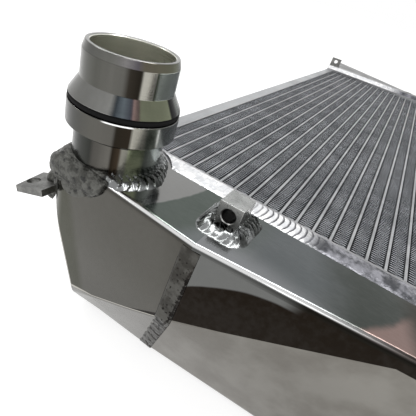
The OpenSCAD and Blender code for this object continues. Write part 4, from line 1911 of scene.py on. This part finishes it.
@dataclass
class NeckWeld:
    """Weld round the inlet neck: rippled at the right, rough over the left edge."""

    finishes: Finishes
    shape: TankShape = SHAPE
    steps: int = 540
    rows: int = 20
    ripple_deg: float = 8.6
    ripple_h: float = 3.0
    bulge_h: float = 1.0
    rough_h: float = 2.3
    rough_bulge_h: float = 1.3
    front_limit: float = 26.2
    root_gap: float = 0.3
    rough_mid: float = 214.0
    rough_half: float = 90.0
    rough_ease: float = 6.0
    rough_w: float = 6.9
    edge_rows: int = 34
    edge_scale: float = 0.21
    edge_limit: float = 5.9
    edge_lump: float = 0.75
    edge_grain: float = 0.4
    turn_from: float = 100.0
    edge_from: float = 16.0
    corner_drops: tuple[float, float, float] = (14.5, 12.0, 0.2)
    left_run: tuple[float, float] = (0.7, 24.0)
    reach_deg: Pairs = (
        (-180.0, 30.5),
        (-75.0, 31.0),
        (-58.0, 34.2),
        (-42.0, 36.4),
        (-18.0, 36.0),
        (-7.0, 35.6),
        (6.0, 32.6),
        (22.0, 30.6),
        (180.0, 30.5),
    )
    low_deg: Pairs = (
        (85.0, 0.0),
        (125.0, 1.0),
        (215.0, 1.0),
        (245.0, 0.0),
    )
    drop_x: Pairs = (
        (-18.0, 14.5),
        (-9.0, 13.2),
        (-1.0, 14.4),
        (7.0, 12.4),
        (11.0, 10.6),
        (14.0, 7.6),
        (16.0, 3.0),
    )
    edge_section: Pairs = (
        (-8.0, 0.02),
        (-5.0, 0.09),
        (-1.0, 0.13),
        (2.2, 0.02),
        (3.9, -0.16),
        (4.5, -0.42),
        (4.3, -0.68),
        (3.4, -0.88),
        (1.8, -0.99),
        (-0.6, -1.0),
    )

    def build(self) -> None:
        """Builds the ring and the rough bead over the edge."""
        self.ring()
        self.edge_bead()
        dress_solid("outlet_neck_weld", self.finishes.flowed)

    def top_at(self, x: float, y: float) -> float:
        """Works out the height of the tank's top, its bend included.

        Args:
            x: Place across the tubes.
            y: Place along the tubes.

        Returns:
            The height.
        """
        r = self.shape.fold_r
        place = max(x, self.shape.near_left)
        top = self.shape.inlet_top(place)
        past = -y - (self.shape.inlet_reach(place) - r)
        if past <= 0:
            return top
        if past < r - 0.3:
            return top - r + math.sqrt(r * r - past * past)
        return top - r - 2.0 * (past - r + 0.3)

    def is_rough(self, deg: float) -> float:
        """Returns how rough the weld is at an angle, from 0 to 1."""
        away = abs((deg - self.rough_mid + 180.0) % 360.0 - 180.0)
        return unit((self.rough_half - away) / self.rough_ease)

    def column(self, deg: float, rough: float) -> list[Vector]:
        """Returns the points of the weld from the stem outwards.

        Args:
            deg: Angle round the neck.
            rough: How rough the weld is there, from 0 to 1.

        Returns:
            The points.
        """
        t = math.radians(deg)
        root = LAYOUT.stem_r - self.root_gap
        far = through(self.reach_deg, (deg + 180.0) % 360.0 - 180.0)
        if math.sin(t) < -0.3:
            far = min(far, self.front_limit / -math.sin(t))
        low = through(self.low_deg, deg)
        points = []
        for i in range(self.rows + 1):
            u = i / self.rows
            bow = 0.55 * (2 * u - 1) ** 2 + 0.35 * u
            saw = 1.0 - (deg / self.ripple_deg + bow) % 1.0
            fine = noise.noise(Vector((deg * 0.9, u * 6, 1.0)))
            smooth = self.ripple_h * (1 - u) ** 0.75 + self.bulge_h * math.sin(math.pi * u)
            smooth *= 0.64 + 0.34 * saw + 0.08 * fine
            smooth_out = root + (far - LAYOUT.stem_r) * u * (0.97 + 0.05 * saw)
            lump_at = Vector((math.cos(t) * 4.2, math.sin(t) * 4.2, u * 1.6))
            lump = noise.noise(lump_at)
            small = noise.noise(lump_at * 3.1)
            bulge = self.rough_bulge_h * math.sin(math.pi * u) ** 0.6
            rough_up = self.rough_h * (1 - u) + bulge * (1 + 0.40 * lump + 0.22 * small)
            rough_out = root + self.rough_w * u * (1 + 0.14 * lump)
            out = smooth_out * (1 - rough) + rough_out * rough
            up = smooth * (1 - rough) + rough_up * rough
            up *= (1 - u**8) * (1 - 0.45 * low)
            x = LAYOUT.neck_x + out * math.cos(t)
            y = -LAYOUT.neck_reach + out * math.sin(t)
            points.append(LAYOUT.point(x, y, self.top_at(x, y) + up - 0.02 - 0.8 * low * u))
        return points

    def ring(self) -> None:
        """Builds the ring as two pieces, one smooth and one rough."""
        turns = [360.0 * k / self.steps for k in range(self.steps)]
        rough_at = [self.is_rough(deg) for deg in turns]
        points = [p for deg, rough in zip(turns, rough_at) for p in self.column(deg, rough)]
        for name, want, material, slot in (
            ("neck_ripples", False, self.finishes.flowed, "weld_metal"),
            ("neck_rough_ring", True, self.finishes.rough_weld, "rough_weld"),
        ):
            columns = [k for k, rough in enumerate(rough_at) if (rough > 0.5) == want]
            faces = wall_faces(columns, self.steps, self.rows + 1)
            new_piece(name, pruned(points, faces), material, "inlet_neck_weld", 70.0)

    def path(self) -> list[tuple[float, float, float, float]]:
        """Works out the path of the rough bead along the tank's edge.

        Returns:
            The x, reach, outward direction in degrees and drop of each place.
        """
        s = self.shape
        end_x = s.near_left + s.end_corner
        top = s.inlet_reach(end_x)
        first, last, slope = self.corner_drops
        path = [
            (x, s.inlet_reach(x), 90.0, through(self.drop_x, x))
            for x in frange(self.edge_from, end_x, 60)
        ]
        for share in frange(0.0, 1.0, 25)[1:]:
            w = math.radians(90.0 * share)
            x = end_x - s.end_corner * math.sin(w)
            reach = top - s.end_corner * (1 - math.cos(w))
            path.append((x, reach, 90.0 + 90.0 * share, first + (last - first) * share))
        for back in frange(*self.left_run, 36):
            path.append((s.near_left, top - s.end_corner - back, 180.0, last - slope * back))
        return path

    def edge_bead(self) -> None:
        """Builds the rough bead that hangs over the front edge and round the corner."""
        rows = self.edge_rows
        section = smooth_row(self.edge_section, rows)
        path = self.path()
        last = len(path) - 1
        points: list[Vector] = []
        for k, (x, reach, deg, drop) in enumerate(path):
            t = math.radians(deg)
            size = min(1.0, 0.05 + math.sqrt(k / 9.0), 0.4 + (last - k) / 14.0)
            side = 1.0 - 0.25 * unit((deg - self.turn_from) / 50.0)
            high = 1.0 - 0.95 * unit((deg - self.turn_from) / 40.0)
            bent = unit((deg - 105.0) / 50.0)
            edge = noise.noise(Vector((k * 0.16, 0.0, 8.0)))
            for i, (out, z) in enumerate(section):
                at = Vector((x, reach, z * drop)) * self.edge_scale
                grow = 0.0
                if 3 < i < rows - 4:
                    grow = self.edge_lump * noise.noise(at)
                    grow += self.edge_grain * noise.noise(at * 3.3)
                o = min(self.edge_limit, out * size * side + grow * size if out > 0 else out)
                zz = z * drop * (1.0 + 0.10 * edge) if z < 0 else z * drop * high
                zz -= 6.0 * bent * unit((out + 8.0) / 8.0) ** 2
                points.append(
                    side_point(
                        Side.NEAR, x + o * math.cos(t), reach + o * math.sin(t), LAYOUT.top_z + zz
                    )
                )
        faces = wall_faces(range(last), last + 1, rows)
        faces.append(tuple(reversed(range(rows))))
        faces.append(tuple(range(last * rows, (last + 1) * rows)))
        new_piece(
            "edge_rough_bead", (points, faces), self.finishes.rough_weld,
            "inlet_neck_weld", 70.0,
        )


def through(table: Pairs, x: float) -> float:
    """Follows a line through the points of a table.

    Args:
        table: The points, from left to right.
        x: Place along the table.

    Returns:
        The value at x, held at the table's ends.
    """
    for (x0, y0), (x1, y1) in zip(table, table[1:]):
        if x <= x1:
            return line(max(x, x0), x0, y0, x1, y1)
    return table[-1][1]


def frange(start: float, stop: float, count: int) -> list[float]:
    """Returns evenly spaced values from start to stop."""
    return [start + (stop - start) * i / (count - 1) for i in range(count)]


def smooth_row(corners: Pairs, count: int) -> list[tuple[float, float]]:
    """Draws a smooth curve through corners.

    Args:
        corners: The corners.
        count: Number of points.

    Returns:
        Points on the curve.
    """
    out = []
    n = len(corners) - 1
    for k in range(count):
        t = n * k / (count - 1)
        i = min(int(t), n - 1)
        f = t - i
        p = [Vector(corners[max(0, min(n, i + j))]) for j in (-1, 0, 1, 2)]
        q = 0.5 * (
            2 * p[1]
            + (p[2] - p[0]) * f
            + (2 * p[0] - 5 * p[1] + 4 * p[2] - p[3]) * f * f
            + (3 * p[1] - p[0] - 3 * p[2] + p[3]) * f**3
        )
        out.append((q.x, q.y))
    return out


def pruned(points: Sequence[Vector], faces: Faces) -> Shape:
    """Drops the points that no face uses.

    Args:
        points: All points.
        faces: The faces.

    Returns:
        The points that are left, and the faces renumbered.
    """
    used = sorted({i for f in faces for i in f})
    number = {old: new for new, old in enumerate(used)}
    return [points[i] for i in used], [tuple(number[i] for i in f) for f in faces]


@dataclass
class Block:
    """Threaded block with its hole and the rippled weld round it."""

    finishes: Finishes
    x: float = 74.5
    front: float = 39.0
    width: float = 13.0
    depth: float = 14.5
    height: float = 13.0
    hole_r: float = 3.8
    hole_steps: int = 72
    chamfer: float = 0.45
    bevel: float = 0.40
    right_w: float = 8.0
    left_w: float = 6.5
    front_w: float = 12.5
    back_w: float = 7.0
    corner_arc: float = 9.0
    columns: int = 420
    rows: int = 22
    ripple: float = 15.0
    ripple_h: float = 0.80
    arch_h: float = 1.1
    side_top: float = 4.4
    front_top: float = 2.5
    front_climb: float = 1.6
    climb_from: float = 0.6
    hole_clear: float = 2.65

    def build(self) -> None:
        """Builds the block and its weld."""
        self.body()
        self.weld()

    def body(self) -> None:
        """Builds the bored block with bevelled edges and a bore painted dark as shade."""
        lay = LAYOUT
        middle, back = lay.top_z + self.height / 2, self.depth - self.front
        block = box_solid(
            "block_body",
            lay.point(self.x - self.width / 2, -self.front, lay.top_z),
            lay.point(self.x + self.width / 2, back, lay.top_z + self.height),
        )
        place = Matrix.Translation(lay.point(self.x, -self.front, middle))
        place = place @ Matrix.Rotation(-math.pi / 2, 4, "X")
        wide = self.hole_r + self.chamfer
        plug = (
            (wide, -1.0),
            (wide, 0.0),
            (self.hole_r, self.chamfer),
            (self.hole_r, self.depth + 1),
        )
        carve(block, [raw_solid("bore", *turned_plug(plug, place, self.hole_steps))])
        paint(block, self.finishes.block, self.finishes.bore)
        axis = lay.point(self.x, 0, middle)
        for polygon in block.data.polygons:
            away = math.hypot(polygon.center.x - axis.x, polygon.center.z - axis.z) / MM
            # The bore's faces take the finish painted dark as shade.
            inside = away < self.hole_r + 0.02 and abs(polygon.normal.y) < 0.2
            polygon.material_index = int(inside)
        bevel = block.modifiers.new("edges", "BEVEL")
        bevel.width = self.bevel * MM
        bevel.segments = 2
        bevel.limit_method = "ANGLE"
        bevel.angle_limit = math.radians(70)
        bevel.harden_normals = True
        finish_piece(block, "threaded_block", 40.0)

    def outline(self, share: float) -> list[tuple[float, float]]:
        """Returns points round the block at a share of the weld's width.

        Args:
            share: 0 at the block's sides, 1 at the outer edge of the weld.

        Returns:
            The points, anticlockwise, evenly spaced along the sides and corners.
        """
        hx, hy, arc = self.width / 2, self.depth / 2, self.corner_arc
        sides = (
            ((hx, -hy), 0.0, (0, 1), 2 * hy),
            ((hx, hy), 90.0, (-1, 0), 2 * hx),
            ((-hx, hy), 180.0, (0, -1), 2 * hy),
            ((-hx, -hy), 270.0, (1, 0), 2 * hx),
        )
        total = sum(side[3] for side in sides) + 4 * arc
        out = []
        for k in range(self.columns):
            s = total * k / self.columns
            for (cx, cy), turn, d, length in sides:
                if s < length + arc:
                    turn += 90.0 * max(0.0, s - length) / arc
                    x, y = cx + d[0] * min(s, length), cy + d[1] * min(s, length)
                    break
                s -= length + arc
            wx, wy = math.cos(math.radians(turn)), math.sin(math.radians(turn))
            wide = self.right_w if wx > 0 else self.left_w
            high = self.back_w if wy > 0 else self.front_w
            grow = share * (1.0 + 0.05 * noise.noise(Vector((k * 0.05, 3.0, 1.0))))
            out.append((x + grow * wide * wx, y + grow * high * wy))
        return out

    def weld(self) -> None:
        """Builds the ripples of the weld round the block."""
        rows = self.rows
        points: list[Vector] = []
        rings = [self.outline(i / rows) for i in range(rows + 1)]
        cy = self.depth / 2 - self.front
        for k in range(self.columns):
            x0, y0 = rings[0][k]
            in_front = y0 < -self.depth / 2 + 0.01
            past = max(0.0, abs(x0 / (self.width / 2)) - self.climb_from)
            climb = self.front_climb * past / (1 - self.climb_from)
            top = self.front_top + climb if in_front else self.side_top
            for i, ring in enumerate(rings):
                u = i / rows
                phase = (k / self.ripple + 0.8 * (2 * u - 1) ** 2) % 1.0
                lump = noise.noise(Vector((k * 0.045, u * 2.4, 5.0)))
                small = noise.noise(Vector((k * 0.20, u * 8.0, 6.0)))
                arch = math.sin(math.pi * u)
                h = top * (1 - u) ** 1.15 + self.arch_h * arch * (1 + 0.8 * lump)
                h += (self.ripple_h * (1 - phase) + 0.08 * small - 0.35) * arch**0.5
                x, y = ring[k]
                if in_front and u < 0.25 and abs(x) < self.hole_r + 0.6:
                    h = min(h, self.hole_clear)
                h = max(0.0, h) * (1 - u**7)
                points.append(LAYOUT.point(self.x + x, cy + y, LAYOUT.top_z + h))
        faces = wall_faces(range(self.columns), self.columns, rows + 1)
        new_piece(
            "block_ripples", (points, faces), self.finishes.flowed,
            "block_weld", 70.0,
        )


@dataclass
class Brackets:
    """Corner tab, its weld and the angle bracket on the far tank."""

    finishes: Finishes

    def build(self) -> None:
        """Dresses the brackets."""
        for name, material in (
            ("corner_tab", self.finishes.tab),
            ("tab_weld", self.finishes.rough_weld),
            ("standing_bracket", self.finishes.tab),
            ("bracket_weld", self.finishes.weld),
        ):
            dress_solid(name, material)


@dataclass
class Studio:
    """Floor, light and camera."""

    eye: Corner = (-0.06676, -0.51560, 0.20983)
    right: Corner = (0.80997, 0.53153, 0.24784)
    down: Corner = (0.48252, -0.36377, -0.79677)
    ahead: Corner = (-0.33335, 0.76495, -0.55112)
    lens: float = 30.9
    shift: tuple[float, float] = (0.0625, -0.0072)
    floor_half: float = 30.0
    floor_gap: float = 0.0002
    floor_tone: float = 0.45
    floor_glow: float = 0.75
    sky: Pairs = ((0.0, 1.0), (0.14, 1.0), (0.3, 0.80), (0.55, 0.66), (1.0, 0.72))

    def build(self) -> None:
        """Builds the studio."""
        self.floor()
        self.world()
        self.lamps()
        self.camera()
        bpy.context.scene.view_settings.view_transform = "Standard"

    def floor(self) -> None:
        """Lays a plain pale floor that keeps the radiator's shadow."""
        half = self.floor_half
        corners = [(-half, -half, 0), (half, -half, 0), (half, half, 0), (-half, half, 0)]
        floor = raw_solid("floor", [Vector(c) for c in corners], [(0, 1, 2, 3)])
        floor.location.z = -self.floor_gap
        material = bpy.data.materials.new("pale_floor")
        material.use_nodes = True
        tree = material.node_tree
        tree.nodes.clear()
        diffuse = tree.nodes.new("ShaderNodeBsdfDiffuse")
        diffuse.inputs["Color"].default_value = (*[self.floor_tone] * 3, 1.0)
        path = tree.nodes.new("ShaderNodeLightPath")
        seen = path.outputs["Is Camera Ray"]
        for other in (path.outputs["Is Glossy Ray"], path.outputs["Is Transmission Ray"]):
            either = tree.nodes.new("ShaderNodeMath")
            either.operation = "MAXIMUM"
            tree.links.new(seen, either.inputs[0])
            tree.links.new(other, either.inputs[1])
            seen = either.outputs[0]
        level = tree.nodes.new("ShaderNodeMath")
        level.operation = "MULTIPLY"
        level.inputs[1].default_value = self.floor_glow
        glow = tree.nodes.new("ShaderNodeEmission")
        add = tree.nodes.new("ShaderNodeAddShader")
        output = tree.nodes.new("ShaderNodeOutputMaterial")
        tree.links.new(seen, level.inputs[0])
        tree.links.new(level.outputs[0], glow.inputs["Strength"])
        tree.links.new(diffuse.outputs[0], add.inputs[0])
        tree.links.new(glow.outputs[0], add.inputs[1])
        tree.links.new(add.outputs[0], output.inputs["Surface"])
        paint(floor, material)

    def world(self) -> None:
        """Sets a soft world that is brightest at the horizon."""
        world = bpy.data.worlds.new("studio")
        bpy.context.scene.world = world
        world.use_nodes = True
        tree = world.node_tree
        tree.nodes.clear()
        output = tree.nodes.new("ShaderNodeOutputWorld")
        sky = tree.nodes.new("ShaderNodeBackground")
        coord = tree.nodes.new("ShaderNodeTexCoord")
        split = tree.nodes.new("ShaderNodeSeparateXYZ")
        ramp = tree.nodes.new("ShaderNodeValToRGB")
        tree.links.new(coord.outputs["Generated"], split.inputs[0])
        tree.links.new(split.outputs["Z"], ramp.inputs["Fac"])
        tree.links.new(ramp.outputs[0], sky.inputs["Color"])
        tree.links.new(sky.outputs[0], output.inputs["Surface"])
        set_stops(ramp.color_ramp, [(place, (value,) * 3) for place, value in self.sky])
        sky.inputs["Strength"].default_value = 1.0

    def lamps(self) -> None:
        """Sets three soft lamps."""
        for name, place, turn, size, power in (
            ("overhead_softbox", (-0.45, 0.0, 1.5), (-15.6, 0.0, 0.0), (2.6, 0.30), 16.0),
            ("front_softbox", (0.75, -1.35, 1.35), (50.0, 0.0, 30.0), (1.1, 0.8), 3.5),
            ("left_softbox", (-1.3, -0.9, 1.2), (50.0, 0.0, -60.0), (0.35, 0.35), 3.0),
        ):
            data = bpy.data.lights.new(name, "AREA")
            data.shape = "RECTANGLE"
            data.size, data.size_y = size
            data.energy = power
            lamp = bpy.data.objects.new(name, data)
            bpy.context.scene.collection.objects.link(lamp)
            lamp.location = place
            lamp.rotation_euler = tuple(math.radians(v) for v in turn)

    def camera(self) -> None:
        """Sets the camera at the photograph's place."""
        data = bpy.data.cameras.new("camera")
        data.lens = self.lens
        data.sensor_width = 36.0
        data.sensor_fit = "HORIZONTAL"
        data.shift_x, data.shift_y = self.shift
        data.clip_start = 0.01
        camera = bpy.data.objects.new("camera", data)
        turn = Matrix((self.right, -Vector(self.down), -Vector(self.ahead))).transposed()
        camera.matrix_world = Matrix.Translation(Vector(self.eye)) @ turn.to_4x4()
        bpy.context.scene.collection.objects.link(camera)
        bpy.context.scene.camera = camera


def outlet_place(x: float = 40.0, z: float = -40.0) -> Matrix:
    """Places the outlet neck square to the far tank's slanted face.

    Args:
        x: Place across the tubes.
        z: Height above the air face.

    Returns:
        The turn and place of the neck in metres of the part's frame.
    """
    fall = SHAPE.far_reach_end - SHAPE.far_reach_seam
    slant = math.atan(fall / (SHAPE.far_seam_x - LAYOUT.header_left))
    return (
        Matrix.Translation(side_point(Side.FAR, x, SHAPE.far_reach(x), z))
        @ Matrix.Rotation(-slant, 4, "Z")
        @ Matrix.Rotation(-math.pi / 2, 4, "X")
    )


def main() -> None:
    logging.basicConfig(level=logging.INFO, format="%(message)s")
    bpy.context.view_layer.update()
    finishes = Finishes()
    lay = LAYOUT
    inlet_place = Matrix.Translation(side_point(Side.NEAR, lay.neck_x, lay.neck_reach, lay.top_z))
    Core(finishes).build()
    NearTank(finishes).build()
    FarTank(finishes).build()
    Neck(finishes, "inlet", inlet_place, finishes.neck).build()
    Neck(finishes, "outlet", outlet_place(), finishes.far_neck).build()
    HeaderWeld(finishes).build()
    NeckWeld(finishes).build()
    Block(finishes).build()
    Brackets(finishes).build()
    Studio().build()


if __name__ == "__main__":
    main()
